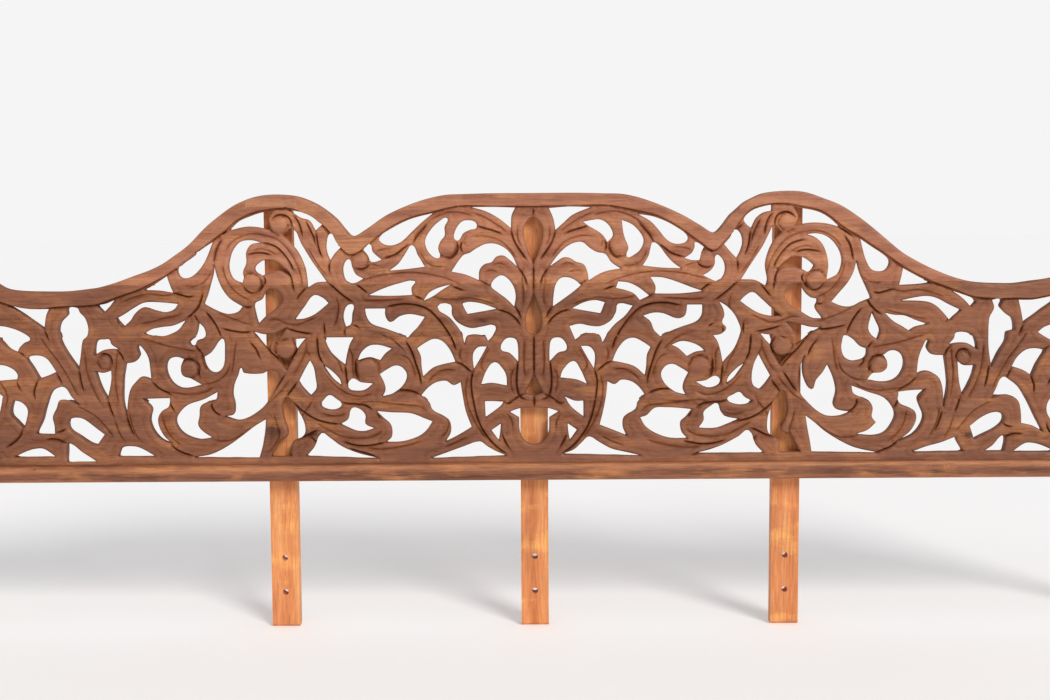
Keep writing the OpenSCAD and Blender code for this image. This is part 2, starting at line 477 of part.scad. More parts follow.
module holes_2d(z0, z1, x0 = -1000, x1 = 1000) {
    if (x0 < 0) for (h = concat(holes_both, holes_outer, holes_left_dip, holes_left_hump,
        holes_left_inner))
        if (highest(h) > z0 - 3 && lowest(h) < z1 + 3)
            polygon([for (q = ring(h)) [-q[0], q[1]]]);
    if (x1 > 0) for (h = concat(holes_both, holes_outer, holes_right_dip, holes_right_hump,
        holes_right_inner))
        if (highest(h) > z0 - 3 && lowest(h) < z1 + 3) polygon(ring(h));
    if (x0 < 0 && x1 > 0) for (h = holes_middle)
        if (highest(h) > z0 && lowest(h) < z1) polygon(ring(h));
}

module band_2d(x0, x1, z0, z1) {
    intersection() {
        polygon(concat(across(line(crest_top_left), line(crest_top_right)),
            [for (p = reversed(across(line(crest_under_left), line(crest_under_right))))
                [p[0], p[1] + ledge]]));
        window(x0, x1, z0, z1);
    }
}

// One board: the carved field, with the plain crest band left at full thickness
module board(x0, x1, z0, z1) {
    difference() {
        union() {
            stand(field_t) difference() {
                body_2d(x0, x1, z0, z1);
                holes_2d(z0, z1, x0, x1);
            }
            stand(board_t) difference() {
                band_2d(x0, x1, z0, z1);
                holes_2d(z0, z1, x0, x1);
            }
        }
        if (z0 < rail_h + dowel_half) for (u = rail_dowels) for (s = [-1, 1])
            rail_dowel_bore(s * u);
        for (x = [-stile_u, stile_u]) for (z = stile_dowels)
            if (z > z0 && z < z1 && x >= x0 && x <= x1) stile_dowel_bore(x, z);
        for (q = screws_at) if (q[1] > z0 && q[1] < z1 && q[0] > x0 && q[0] < x1)
            pilot(q[0], q[1]);
    }
}

// A round bar along Y whose two ends are at y0 and y1
module bar_y(x, z, d0, d1, y0, y1)
    translate([x, y0, panel_z + z]) rotate([-90, 0, 0]) cylinder(h = y1 - y0, d1 = d0, d2 = d1);
module pilot(x, z) bar_y(x, z, screw_d + ease, screw_d + ease, post_t - screw_l - 1, 1);

module rail_dowel(x, d, half)
    translate([x, -field_t / 2, panel_z + rail_h - half]) cylinder(h = 2 * half, d = d);
module rail_dowel_bore(x) rail_dowel(x, dowel_d + ease, dowel_half + ease);
module stile_dowel(x, z, d, half)
    translate([x - half, -field_t / 2, panel_z + z]) rotate([0, 90, 0])
        cylinder(h = 2 * half, d = d);
module stile_dowel_bore(x, z) stile_dowel(x, z, dowel_d + ease, dowel_half + ease);

// Section of the rail in Y and Z, its two front edges rounded
module rail_section() {
    r = rail_round;
    polygon(concat(
        [[0, 0]],
        [for (a = [270:-15:180]) [-rail_t + r + r * cos(a), r + r * sin(a)]],
        [for (a = [180:-15:90]) [-rail_t + r + r * cos(a), rail_h - r + r * sin(a)]],
        [[0, rail_h]]
    ));
}

module rail() color("#b5733f") difference() {
    translate([-stile_u, 0, panel_z]) rotate([90, 0, 90]) linear_extrude(2 * stile_u)
        rail_section();
    for (u = rail_dowels) for (s = [-1, 1]) rail_dowel_bore(s * u);
    for (x = [-stile_u, stile_u]) stile_dowel_bore(x, stile_dowels[0]);
    for (q = screws_at) if (q[1] < rail_h && abs(q[0]) < stile_u) pilot(q[0], q[1]);
}

module board_low() color("#96603c") board(-stile_u, stile_u, rail_h, seam_1);
module board_mid() color("#8f5a38") board(-stile_u, stile_u, seam_1, seam_2);
module board_upper() color("#8a5636") board(-stile_u, stile_u, seam_2, seam_3);
module crest_main() color("#94603d") difference() {
    board(-crest_end, crest_end, seam_3, panel_top);
    cap_block(ease);
}
module crest_left() color("#8f5a38") board(-stile_u, -crest_end, seam_3, panel_top);
module crest_right() color("#8f5a38") board(crest_end, stile_u, seam_3, panel_top);

// The short lighter block let into the top of the left hump
module cap_block(slack) translate([0, 1, 0]) stand(board_t + 2)
    window(-cap_out - slack, -cap_in + slack, cap_z - slack, panel_top);
module hump_cap() color("#b07a50") intersection() {
    board(-crest_end, 0, seam_3, panel_top);
    cap_block(0);
}

module stile(side) {
    r = stile_round;
    x = side * post_end;
    difference() {
        stand(rail_t) polygon(concat(
            [[x - stile_w / 2, 0], [x + stile_w / 2, 0]],
            [for (a = [0:15:90]) [x + stile_w / 2 - r + r * cos(a), stile_h - r + r * sin(a)]],
            [for (a = [90:15:180]) [x - stile_w / 2 + r + r * cos(a), stile_h - r + r * sin(a)]]
        ));
        for (z = stile_dowels) stile_dowel_bore(side * stile_u, z);
        for (z = screws_end) pilot(x, z);
    }
}
module stile_left() color("#9a633d") stile(-1);
module stile_right() color("#9a633d") stile(1);

// An upright batten: two bolt holes below the panel and a countersunk hole per screw
module post(x, heights, top = post_top) {
    c = post_bevel;
    difference() {
        translate([x - post_w / 2, 0, 0]) rotate([90, 0, 90]) linear_extrude(post_w)
            polygon([[0, -bolt_gap / 2 - post_foot + c], [c, -bolt_gap / 2 - post_foot],
                [post_t - c, -bolt_gap / 2 - post_foot], [post_t, -bolt_gap / 2 - post_foot + c],
                [post_t, panel_z + top - c], [post_t - c, panel_z + top],
                [0, panel_z + top]]);
        for (s = [-1, 1]) translate([x, -1, s * bolt_gap / 2]) rotate([-90, 0, 0])
            cylinder(h = post_t + 2, d = bolt_d);
        for (z = heights) {
            bar_y(x, z, screw_d + 2 * ease, screw_d + 2 * ease, -1, post_t + 1);
            bar_y(x, z, screw_d, head_d, post_t - head_h, post_t);
        }
    }
}
module post_centre() color("#c87a46") post(0, screws_mid);
module post_left() color("#c87a46") post(-post_pitch, screws_side);
module post_right() color("#c87a46") post(post_pitch, screws_side);
module post_end_left() color("#c87a46") post(-post_end, screws_end, post_end_top);
module post_end_right() color("#c87a46") post(post_end, screws_end, post_end_top);

module screw(x, z) difference() {
    union() {
        bar_y(x, z, 1, screw_d, post_t - screw_l, post_t - screw_l + tip_l);
        bar_y(x, z, screw_d, screw_d, post_t - screw_l + tip_l, post_t - head_h);
        bar_y(x, z, screw_d, head_d, post_t - head_h, post_t);
    }
    // the driver recess
    for (a = [0, 90]) translate([x, post_t, panel_z + z]) rotate([0, a, 0])
        cube([head_d / 2, 2 * slot_deep, slot_w], center = true);
}
module screws(x, heights) color("#c9c6bd") for (z = heights) screw(x, z);
module screws_centre() screws(0, screws_mid);
module screws_left() screws(-post_pitch, screws_side);
module screws_right() screws(post_pitch, screws_side);
module screws_end_left() screws(-post_end, screws_end);
module screws_end_right() screws(post_end, screws_end);

module dowels_rail() color("#caa46f") for (u = rail_dowels) for (s = [-1, 1])
    rail_dowel(s * u, dowel_d, dowel_half);
module dowels_stile_left() color("#caa46f")
    for (z = stile_dowels) stile_dowel(-stile_u, z, dowel_d, dowel_half);
module dowels_stile_right() color("#caa46f")
    for (z = stile_dowels) stile_dowel(stile_u, z, dowel_d, dowel_half);

rail();
board_low();
board_mid();
board_upper();
crest_main();
crest_left();
crest_right();
hump_cap();
stile_left();
stile_right();
post_centre();
post_left();
post_right();
post_end_left();
post_end_right();
screws_centre();
screws_left();
screws_right();
screws_end_left();
screws_end_right();
dowels_rail();
dowels_stile_left();
dowels_stile_right();
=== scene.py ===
import math
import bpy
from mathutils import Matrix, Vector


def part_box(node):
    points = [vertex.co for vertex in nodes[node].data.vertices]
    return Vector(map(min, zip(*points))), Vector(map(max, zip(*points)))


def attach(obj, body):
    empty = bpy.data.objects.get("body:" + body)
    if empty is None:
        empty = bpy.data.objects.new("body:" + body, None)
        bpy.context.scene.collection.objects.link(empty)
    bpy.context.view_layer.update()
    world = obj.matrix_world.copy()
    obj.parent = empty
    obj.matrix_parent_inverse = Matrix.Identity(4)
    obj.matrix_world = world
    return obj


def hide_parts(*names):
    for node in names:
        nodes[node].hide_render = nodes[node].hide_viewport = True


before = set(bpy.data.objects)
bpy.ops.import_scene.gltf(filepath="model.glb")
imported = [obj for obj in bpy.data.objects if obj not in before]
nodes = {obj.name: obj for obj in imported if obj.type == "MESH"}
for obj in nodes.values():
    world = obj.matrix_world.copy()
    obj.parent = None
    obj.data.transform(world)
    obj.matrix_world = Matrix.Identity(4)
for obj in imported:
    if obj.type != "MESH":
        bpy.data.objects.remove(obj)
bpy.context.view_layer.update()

from types import SimpleNamespace

import bpy
import numpy as np
from mathutils import Vector, kdtree
from mathutils.geometry import delaunay_2d_cdt

# The carving is drawn on the panel's front in millimetres: x from the middle of the panel, z above the
# underside of the rail. Everything else is in metres.
MM = 1000.0
rail_low, rail_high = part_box("rail")
BASE = rail_low.z * MM
RAIL_H = (rail_high.z - rail_low.z) * MM
# thickness of the carved field and of the plain crest band
FIELD = -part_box("board_mid")[0].y * MM
BAND = -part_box("crest_main")[0].y * MM
# spacing of mesh points along an edge and on an open surface
STEP = 2.3
GRID = 3.1
# the surface grid is a honeycomb, so its rows lie this share of GRID apart
ROWS = 0.866
# how far the walls of an opening lean in under the front, at the back
UNDERCUT = 2.4
# half width and depth of a deep cut and of a vein, and how much painted shade each gets
CUT_HALF, CUT_DEPTH, CUT_PAINTED_SHADE = 2.0, 2.6, 1.0
VEIN_HALF, VEIN_DEPTH, VEIN_PAINTED_SHADE = 1.9, 1.2, 0.55
# outlines shorter than this are the screws' holes
SHORTEST = 22
# a corner of the CAD outline this close to a joint lies on it, and so does a mesh point this close
CLOSE, TOUCH = 0.15, 0.2
# kinds of edge: an opening's or an end's, a joint with a neighbour, the outside of the crest band, and
# the band's foot
FREE, JOINT, TOP, FOOT = 0, 1, 2, 3

# ---------------------------------------------------------------- lines of the carving
# Deep V cuts that part one strand from the next, worked alike on both halves, each a list of points
# (distance from the middle, height)
DEEP = [
    # beside the middle stem
    [(0, 303), (0, 290), (0, 276), (0, 262)], [(0, 206), (0, 190), (0, 170), (0, 148)],
    [(0, 121), (0, 110), (0, 101)], [(0, 382), (0, 368)],
    [(22, 170), (24, 150), (24, 132), (20, 118), (10, 112)], [(12, 122), (24, 116), (36, 108), (43, 110)],
    [(31, 353), (29, 342), (24, 330), (16, 318), (8, 307)], [(23, 300), (16, 291), (11, 281), (9, 270)],
    [(84, 157), (88, 140), (87, 122), (84, 105), (80, 88), (72, 70), (62, 56), (50, 44), (38, 36)],
    [(46, 66), (41, 54), (34, 42)], [(27, 245), (21, 236), (17, 226)],
    [(52, 240), (38, 236), (26, 228), (18, 216)],
    # arcs under the middle hump
    [(168, 330), (163, 340), (154, 351), (145, 361)], [(80, 357), (68, 353), (54, 349), (42, 344)],
    [(211, 311), (200, 314), (190, 318), (180, 326), (170, 332)],
    [(250, 300), (242, 297), (233, 299), (226, 306)],
    [(108, 337), (105, 328), (107, 319), (114, 312), (124, 311)], [(97, 338), (101, 328), (98, 318)],
    [(249, 278), (240, 271), (229, 262)], [(288, 280), (278, 272), (268, 263), (259, 256), (250, 250)],
    [(169, 261), (160, 257), (152, 253)], [(115, 273), (104, 269), (94, 266)],
    [(76, 281), (68, 277), (59, 272)],
    [(206, 244), (185, 248), (165, 247), (148, 241), (134, 228), (122, 212), (113, 196), (109, 182)],
    [(112, 167), (102, 164), (94, 158), (86, 151)],
    [(158, 120), (172, 126), (190, 127), (203, 122), (212, 119)],
    [(180, 198), (171, 182), (165, 164), (160, 148), (158, 134)], [(262, 217), (264, 209), (262, 202)],
    [(254, 219), (248, 218), (242, 213)],
    # the sweep from the middle down to the rail
    [(293, 224), (292, 212), (292, 203)], [(303, 206), (302, 190), (300, 176), (294, 164)],
    [(264, 164), (263, 152), (262, 142), (261, 131)], [(248, 174), (250, 162), (249, 150), (243, 140)],
    [(274, 113), (262, 109), (248, 108), (236, 106), (226, 99)], [(222, 98), (218, 91), (213, 86)],
    [(338, 112), (326, 100), (312, 90), (298, 84), (284, 81), (272, 80)],
    [(270, 55), (252, 50), (236, 49), (221, 51), (208, 54)], [(262, 46), (246, 41), (232, 37), (220, 32)],
    # the crossing under the outer hump
    [(392, 211), (380, 198), (369, 184), (358, 173), (350, 164), (345, 156)],
    [(338, 202), (331, 187), (336, 177), (341, 168), (346, 157)],
    [(347, 152), (354, 142), (362, 130), (369, 121)], [(331, 141), (337, 132), (344, 123), (348, 116)],
    [(398, 198), (388, 186), (382, 171)], [(358, 190), (352, 197), (343, 201)],
    [(346, 216), (335, 212), (322, 209), (308, 207)],
    [(342, 58), (330, 60), (320, 64), (310, 69), (301, 72)], [(314, 62), (308, 56), (304, 49)],
    # the large spiral
    [(445, 337), (436, 344), (428, 349), (421, 353)], [(444, 304), (442, 318), (438, 330), (430, 341)],
    [(379, 334), (368, 333), (356, 328), (346, 318), (338, 306), (333, 294)],
    [(399, 317), (388, 320), (374, 320), (362, 316)], [(377, 290), (373, 282), (378, 272), (384, 265)],
    [(347, 300), (341, 294), (337, 286), (335, 275), (333, 265)],
    [(314, 273), (320, 268), (326, 261), (331, 254)], [(405, 277), (400, 269), (393, 265), (385, 265)],
    [(406, 247), (398, 245), (390, 247)],
    [(364, 364), (357, 371), (347, 373), (339, 369), (335, 361), (335, 352)],
    [(334, 374), (326, 364), (322, 352), (320, 340)], [(316, 366), (310, 354), (305, 342), (302, 330)],
    [(301, 350), (300, 338), (298, 326), (293, 312)], [(293, 359), (286, 353), (280, 347)],
    [(282, 310), (284, 300), (283, 290)],
    # round the lower spiral
    [(486, 229), (476, 236), (468, 245), (463, 256), (460, 268)], [(474, 236), (470, 230), (467, 224)],
    [(458, 240), (448, 228), (441, 216), (436, 202)], [(437, 216), (420, 212), (405, 210), (392, 211)],
    [(490, 173), (480, 172), (472, 165), (469, 155), (468, 146)],
    [(466, 184), (462, 173), (460, 163), (452, 156)], [(513, 119), (509, 108), (503, 97)],
    [(450, 115), (452, 106), (446, 97), (437, 92)], [(548, 118), (540, 114), (536, 104)],
    [(536, 143), (526, 133), (514, 126), (505, 121)], [(512, 54), (504, 46), (492, 40), (478, 35)],
    [(474, 194), (468, 186), (461, 178)], [(504, 266), (492, 263), (480, 260), (470, 262)],
    # leaves beside the outer dip
    [(636, 160), (635, 148), (633, 138), (630, 126)], [(598, 119), (596, 110), (593, 101), (589, 90)],
    [(572, 95), (570, 86), (566, 75), (562, 64)], [(669, 156), (664, 146), (660, 137)],
    [(693, 147), (697, 138), (700, 128), (699, 116)], [(709, 175), (715, 181), (722, 185)],
    [(683, 217), (680, 208), (676, 198)], [(724, 145), (722, 136), (717, 128)],
    [(718, 77), (722, 66), (732, 56), (744, 49)], [(674, 70), (664, 72), (655, 77)],
    [(582, 230), (578, 223), (573, 217)], [(585, 188), (577, 180), (573, 169)],
    [(608, 177), (602, 181), (594, 179), (590, 171), (593, 162)],
    [(656, 54), (664, 58), (674, 61), (688, 60)],
]
# Shallow veins that run along the strands and leaves
VEINS = [
    [(690, 207), (682, 194), (672, 180), (662, 166), (653, 150), (646, 136), (640, 122)],
    [(642, 108), (628, 101), (614, 92), (602, 78), (590, 62)],
    [(628, 190), (627, 170), (624, 150), (616, 128), (606, 108)],
    [(582, 186), (584, 168), (586, 148), (585, 128), (582, 110)],
    [(589, 90), (586, 80), (582, 68), (574, 54)],
    [(552, 222), (535, 225), (515, 230), (498, 234), (486, 238)],
    [(575, 252), (555, 260), (535, 264), (512, 262), (488, 268)],
    [(548, 202), (530, 197), (510, 191), (490, 187), (470, 183)],
    [(522, 128), (500, 125), (480, 123), (460, 127), (447, 135)],
    [(466, 138), (452, 139), (440, 144), (430, 153), (424, 168)],
    [(568, 102), (566, 86), (560, 68), (552, 55)], [(522, 98), (520, 84), (515, 71), (506, 59), (494, 50)],
    [(455, 60), (440, 57), (424, 59), (408, 68), (394, 79)],
    [(446, 242), (430, 233), (414, 227), (400, 222), (390, 222)],
    [(415, 200), (418, 184), (420, 168), (424, 150)],
    [(428, 322), (420, 334), (406, 343), (390, 347), (374, 345), (358, 340), (346, 331), (336, 318),
     (328, 302), (323, 286), (322, 272)],
    [(432, 306), (430, 292), (424, 278), (414, 266), (402, 258), (391, 254)],
    [(446, 300), (452, 288), (461, 279), (474, 274), (488, 276)],
    [(392, 322), (380, 326), (366, 323), (354, 315)], [(446, 290), (444, 270), (450, 258)],
    [(300, 232), (314, 226), (330, 220), (344, 222), (360, 228), (372, 226)],
    [(318, 300), (308, 286), (300, 276)], [(314, 330), (306, 314), (296, 298), (286, 288)],
    [(276, 262), (272, 246), (274, 230), (280, 214)], [(310, 172), (318, 186), (316, 200)],
    [(338, 150), (330, 160), (322, 176), (316, 192)], [(308, 120), (314, 108), (326, 92), (332, 76)],
    [(380, 108), (366, 116), (352, 130), (340, 146)],
    [(366, 98), (362, 82), (358, 66), (364, 52), (374, 40)],
    [(292, 150), (282, 138), (270, 128), (256, 121), (240, 119), (226, 124)],
    [(300, 96), (286, 92), (272, 92), (262, 96)],
    [(306, 82), (290, 72), (274, 64), (256, 60), (238, 60), (222, 64), (212, 72)],
    [(286, 196), (280, 180), (272, 166), (268, 150)], [(262, 190), (254, 178), (254, 160), (252, 144)],
    [(246, 108), (232, 112), (214, 110), (196, 108), (176, 106), (160, 104), (150, 96)],
    [(190, 178), (176, 172), (168, 156), (166, 142)], [(216, 206), (200, 200), (190, 192), (180, 182)],
    [(244, 280), (226, 285), (208, 289), (190, 291), (170, 292), (150, 290), (130, 286), (112, 280),
     (98, 273)],
    [(168, 337), (158, 350), (146, 362), (132, 370), (116, 375), (98, 374), (82, 369)],
    [(158, 324), (153, 312), (146, 304), (134, 300), (120, 301)],
    [(84, 374), (68, 368), (56, 361), (44, 353), (36, 346)], [(92, 346), (96, 334), (92, 326)],
    [(222, 318), (214, 323), (204, 325), (192, 326)], [(230, 304), (218, 302), (208, 298)],
    [(150, 262), (132, 256), (112, 254), (90, 256), (70, 252), (52, 246)],
    [(240, 254), (220, 253), (200, 254), (180, 255)], [(100, 190), (104, 176), (100, 166)],
    [(138, 152), (122, 156), (108, 154)], [(150, 136), (140, 148), (128, 152)],
    [(92, 150), (96, 130), (94, 110), (88, 92), (78, 72), (66, 56)],
    [(66, 150), (74, 160), (70, 174), (60, 188)], [(26, 160), (32, 148), (32, 132), (28, 120)],
    [(13, 200), (14, 180), (14, 160), (12, 144)], [(15, 300), (16, 280), (14, 262), (15, 244)],
    [(124, 92), (120, 80), (124, 68), (134, 58)], [(156, 56), (176, 50), (196, 46), (216, 44), (236, 46)],
    [(128, 46), (108, 54), (92, 62)], [(30, 70), (32, 84), (40, 96)], [(60, 300), (48, 304), (36, 300)],
    [(70, 292), (58, 294), (46, 290)], [(22, 356), (22, 340), (16, 326)],
    [(86, 340), (74, 342), (58, 340), (44, 334), (32, 322), (24, 310)],
    # beyond the photographed length
    [(756, 152), (744, 136), (738, 120), (742, 104)], [(786, 168), (800, 170), (814, 170)],
    [(790, 142), (784, 128), (798, 112), (812, 110)], [(770, 194), (790, 196), (796, 182)],
    [(790, 226), (806, 236), (822, 246)], [(812, 258), (812, 278), (818, 300)],
    [(748, 66), (760, 74), (752, 90)], [(780, 78), (796, 92), (802, 110), (806, 124)],
    [(840, 64), (846, 80), (844, 100), (848, 120)], [(848, 160), (862, 172), (868, 186)],
    [(836, 206), (852, 210), (868, 212)],
]
# Round volute ends: distance from the middle, height, radius, and the direction from which the stem joins
# it, in degrees from straight outwards
BALLS = [
    (392, 279, 12.5, -50), (352, 359, 11.5, 35), (347, 186, 13, 115), (233, 159, 14, -120),
    (121, 325, 11.5, 100), (600, 169, 9, 150), (481, 160, 12, -35), (240, 312, 10, -70),
]


# ---------------------------------------------------------------- small geometry helpers
def hermite(a, b, lead, leave, t):
    """The point t of the way from a to b on a smooth curve with these end directions."""
    return (
        (2 * t**3 - 3 * t**2 + 1) * a + (t**3 - 2 * t**2 + t) * lead
        + (3 * t**2 - 2 * t**3) * b + (t**3 - t**2) * leave
    )


def spline(points, spacing=1.0):
    """Points along a smooth open line through the given ones."""
    p = np.array(points, float)
    out = []
    for i in range(len(p) - 1):
        a, b = p[i], p[i + 1]
        run = np.linalg.norm(b - a)
        before = p[i - 1] if i else a - (b - a)
        after = p[i + 2] if i + 2 < len(p) else b + (b - a)
        lead = (b - before) / (run + np.linalg.norm(a - before)) * run
        leave = (after - a) / (run + np.linalg.norm(after - b)) * run
        count = max(1, int(round(run / spacing)))
        out += [hermite(a, b, lead, leave, k / count) for k in range(count)]
    out.append(p[-1])
    return np.array(out)


def unit(vectors):
    return vectors / np.maximum(np.linalg.norm(vectors, axis=1), 1e-9)[:, None]


def leftward(vectors):
    """Each vector turned a quarter turn to the left."""
    return np.stack([-vectors[:, 1], vectors[:, 0]], 1)


def doubled_area(a, b, c):
    return (b[:, 0] - a[:, 0]) * (c[:, 1] - a[:, 1]) - (b[:, 1] - a[:, 1]) * (c[:, 0] - a[:, 0])


def tree_of(points):
    tree = kdtree.KDTree(max(1, len(points)))
    for i, q in enumerate(points):
        tree.insert((q[0], q[1], 0.0), i)
    tree.balance()
    return tree


def nearest(tree, points, far=1e6):
    """Distance from each point to the nearest one in the tree, and which one it is."""
    dist = np.full(len(points), far)
    index = np.zeros(len(points), int)
    for i, q in enumerate(points):
        found = tree.find((q[0], q[1], 0.0))
        if found[2] is not None:
            dist[i], index[i] = found[2], found[1]
    return dist, index


def enclosed(points, starts, ends):
    """Whether each point is in the region that these edges bound, by counting crossings."""
    odd = np.zeros(len(points), bool)
    x, z = points[:, 0], points[:, 1]
    for (ax, az), (bx, bz) in zip(starts, ends):
        if az == bz:
            continue
        met = np.nonzero((az > z) != (bz > z))[0]
        odd[met] ^= x[met] < ax + (z[met] - az) * (bx - ax) / (bz - az)
    return odd


def inside(points, loops):
    return enclosed(points, np.concatenate(loops), np.concatenate([np.roll(w, -1, 0) for w in loops]))


def on_joint(points, joints, slack):
    """Whether each point lies on one of these straight joints, given as (axis, place)."""
    return np.array([any(abs(v[k] - at) < slack for k, at in joints) for v in points], bool)


def same_joint(v, w, joints, slack):
    return any(abs(v[k] - at) < slack and abs(w[k] - at) < slack for k, at in joints)


def length_of(loop):
    return np.linalg.norm(np.roll(loop, -1, 0) - loop, axis=1).sum()


def thinned(points, taken, gap):
    """The points that are at least gap from the taken ones and in cells of their own."""
    if not len(points):
        return points
    _, first = np.unique(np.floor(points / gap).astype(int), axis=0, return_index=True)
    points = points[np.sort(first)]
    return points[nearest(tree_of(taken), points)[0] > gap]


# ---------------------------------------------------------------- outlines of the boards
def rims(obj, depth):
    """The closed outlines of the faces that lie this far in front of the back, material on the left."""
    flat = 0.03
    me = obj.data
    me.calc_loop_triangles()
    co = np.empty(len(me.vertices) * 3, np.float32)
    me.vertices.foreach_get("co", co)
    co = co.reshape(-1, 3).astype(float) * MM
    tri = np.empty(len(me.loop_triangles) * 3, np.int32)
    me.loop_triangles.foreach_get("vertices", tri)
    tri = tri.reshape(-1, 3)
    tri = tri[(np.abs(co[tri][:, :, 1] + depth) < flat).all(1)]
    if not len(tri):
        return []
    keys, inv = np.unique(np.round(co[:, [0, 2]], 2), axis=0, return_inverse=True)
    tri = inv.reshape(-1)[tri]
    area = doubled_area(keys[tri[:, 0]], keys[tri[:, 1]], keys[tri[:, 2]])
    tri = np.where((area < 0)[:, None], tri[:, ::-1], tri)
    pairs = np.concatenate([tri[:, [0, 1]], tri[:, [1, 2]], tri[:, [2, 0]]])
    pairs = pairs[pairs[:, 0] != pairs[:, 1]]
    have = set(map(tuple, pairs.tolist()))
    follow = {}
    for i, j in have:
        if (j, i) not in have:
            follow.setdefault(i, []).append(j)
    loops = []
    while follow:
        start = min(follow)
        walk, here = [], start
        while True:
            walk.append(here)
            there = follow[here].pop()
            if not follow[here]:
                del follow[here]
            here = there
            if here == start or here not in follow:
                break
        loop = keys[walk].astype(float)
        loop[:, 1] -= BASE
        if len(loop) > 2:
            loops.append(loop)
    return loops


def rounded(loop, fixed, sharp=math.radians(40)):
    """The loop drawn as a smooth line with its corners kept, and for each new point its old edge."""
    n = len(loop)
    ahead = np.roll(loop, -1, 0) - loop
    run = np.linalg.norm(ahead, axis=1)
    back = np.roll(run, 1)
    heading = np.arctan2(ahead[:, 1], ahead[:, 0])
    turn = np.abs((heading - np.roll(heading, 1) + math.pi) % (2 * math.pi) - math.pi)
    corner = fixed | (turn > sharp)
    out, edge = [], []
    for i in range(n):
        j = (i + 1) % n
        before, a, b, after = loop[i - 1], loop[i], loop[j], loop[(i + 2) % n]
        lead = (b - a) if corner[i] else (b - before) / (run[i] + back[i]) * run[i]
        leave = (b - a) if corner[j] else (after - a) / (run[i] + run[j]) * run[i]
        count = max(1, int(round(run[i] / STEP)))
        out += [hermite(a, b, lead, leave, k / count) for k in range(count)]
        edge += [i] * count
    return np.array(out), np.array(edge)


def outline(name):
    """One board's edges, what kind each point of them is, and the foot of its crest band."""
    o = SimpleNamespace(name=name)
    low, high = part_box(name)
    o.box = x0, x1, z0, z1 = low.x * MM, high.x * MM, low.z * MM - BASE, high.z * MM - BASE
    o.loops = [w for w in rims(nodes[name], 0.0) if length_of(w) > SHORTEST]
    o.band = [w for w in rims(nodes[name], BAND) if length_of(w) > SHORTEST]
    o.joints = [(1, z0), (0, x0), (0, x1)]
    if name.startswith("board"):
        o.joints.append((1, z1))
    elif name == "crest_main":
        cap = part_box("hump_cap")
        o.joints += [(1, cap[0].z * MM - BASE), (0, cap[0].x * MM), (0, cap[1].x * MM)]
    near_band = 0.7
    if o.band:
        o.band_pts = np.concatenate([spline(np.vstack([w, w[:1]])) for w in o.band])
        band_tree = tree_of(o.band_pts)
    o.rims, kinds, inwards, o.edges = [], [], [], []
    for loop in o.loops:
        pts, edge = rounded(loop, on_joint(loop, o.joints, CLOSE))
        ends = zip(loop, np.roll(loop, -1, 0))
        shared = np.array([same_joint(a, b, o.joints, CLOSE) for a, b in ends])
        kind = np.where(shared[edge], JOINT, FREE)
        if o.band:
            kind = np.where((kind == FREE) & (nearest(band_tree, pts)[0] < near_band), TOP, kind)
        base = sum(len(r) for r in o.rims)
        o.edges += [(base + i, base + (i + 1) % len(pts)) for i in range(len(pts))]
        o.rims.append(pts)
        kinds.append(kind)
        inwards.append(unit(leftward(np.roll(pts, -1, 0) - np.roll(pts, 1, 0))))
    o.rim, o.kind, o.inward = np.concatenate(o.rims), np.concatenate(kinds), np.concatenate(inwards)
    # denser samples of the edges, for distances
    o.fine = np.concatenate([np.concatenate([w, 0.5 * (w + np.roll(w, -1, 0))]) for w in o.rims])
    o.fine_kind = np.concatenate(
        [np.concatenate([k, np.where(k == np.roll(k, -1), k, JOINT)]) for k in kinds]
    )
    o.foot = np.zeros((0, 2))
    if o.band:
        away = nearest(tree_of(o.fine), o.band_pts)[0] > near_band
        o.foot = o.band_pts[away & ~on_joint(o.band_pts, o.joints, TOUCH)]
    return o


# ---------------------------------------------------------------- the carved relief
class Marks:
    """Hand-cut lines as samples with their width, depth and direction, and a fade to nothing at each end."""

    def __init__(self, lines, half, depth):
        fade_over, least = 9.0, 0.12
        pts, way, fade = [], [], []
        for line in lines:
            s = spline(line)
            from_end = np.arange(len(s), dtype=float) + 1.5
            pts.append(s)
            way.append(unit(np.gradient(s, axis=0)))
            fade.append(np.clip(np.minimum(from_end, from_end[::-1]) / fade_over, least, 1.0))
        self.pts, self.way, self.fade = np.concatenate(pts), np.concatenate(way), np.concatenate(fade)
        self.half, self.depth = half, depth
        self.tree = tree_of(self.pts)

    def look(self, points):
        """Distance to the nearest line, how far to its left the point is, and the fade there."""
        dist, i = nearest(self.tree, points)
        off = points - self.pts[i]
        left = self.way[i][:, 0] * off[:, 1] - self.way[i][:, 1] * off[:, 0]
        return dist, left, self.fade[i]


def both(line, side):
    """The line on one half; its order turns so that its left stays on the same side of the pattern."""
    return [(side * x, z) for x, z in line][::side]


cuts = Marks([both(line, side) for line in DEEP for side in (-1, 1)], CUT_HALF, CUT_DEPTH)
veins = Marks([both(line, side) for line in VEINS for side in (-1, 1)], VEIN_HALF, VEIN_DEPTH)


def waves(p, seed):
    """Slow uneven swells of a hand-worked surface, from -1 to 1."""
    x, z = p[:, 0], p[:, 1]
    broad = np.sin(x / 19.0 + 1.7 * np.sin(z / 27.0 + seed))
    broad = broad * np.sin(z / 15.0 + 1.3 * np.sin(x / 31.0 + 2 * seed))
    return (broad + 0.5 * np.sin(x / 7.3 + z / 9.1 + 3 * seed)) / 1.5


def quarter(d, r):
    """How much of a quarter round of radius r is taken off at distance d from its edge."""
    return 1 - np.sqrt(np.clip(1 - (1 - np.minimum(d, r) / r) ** 2, 0, 1))


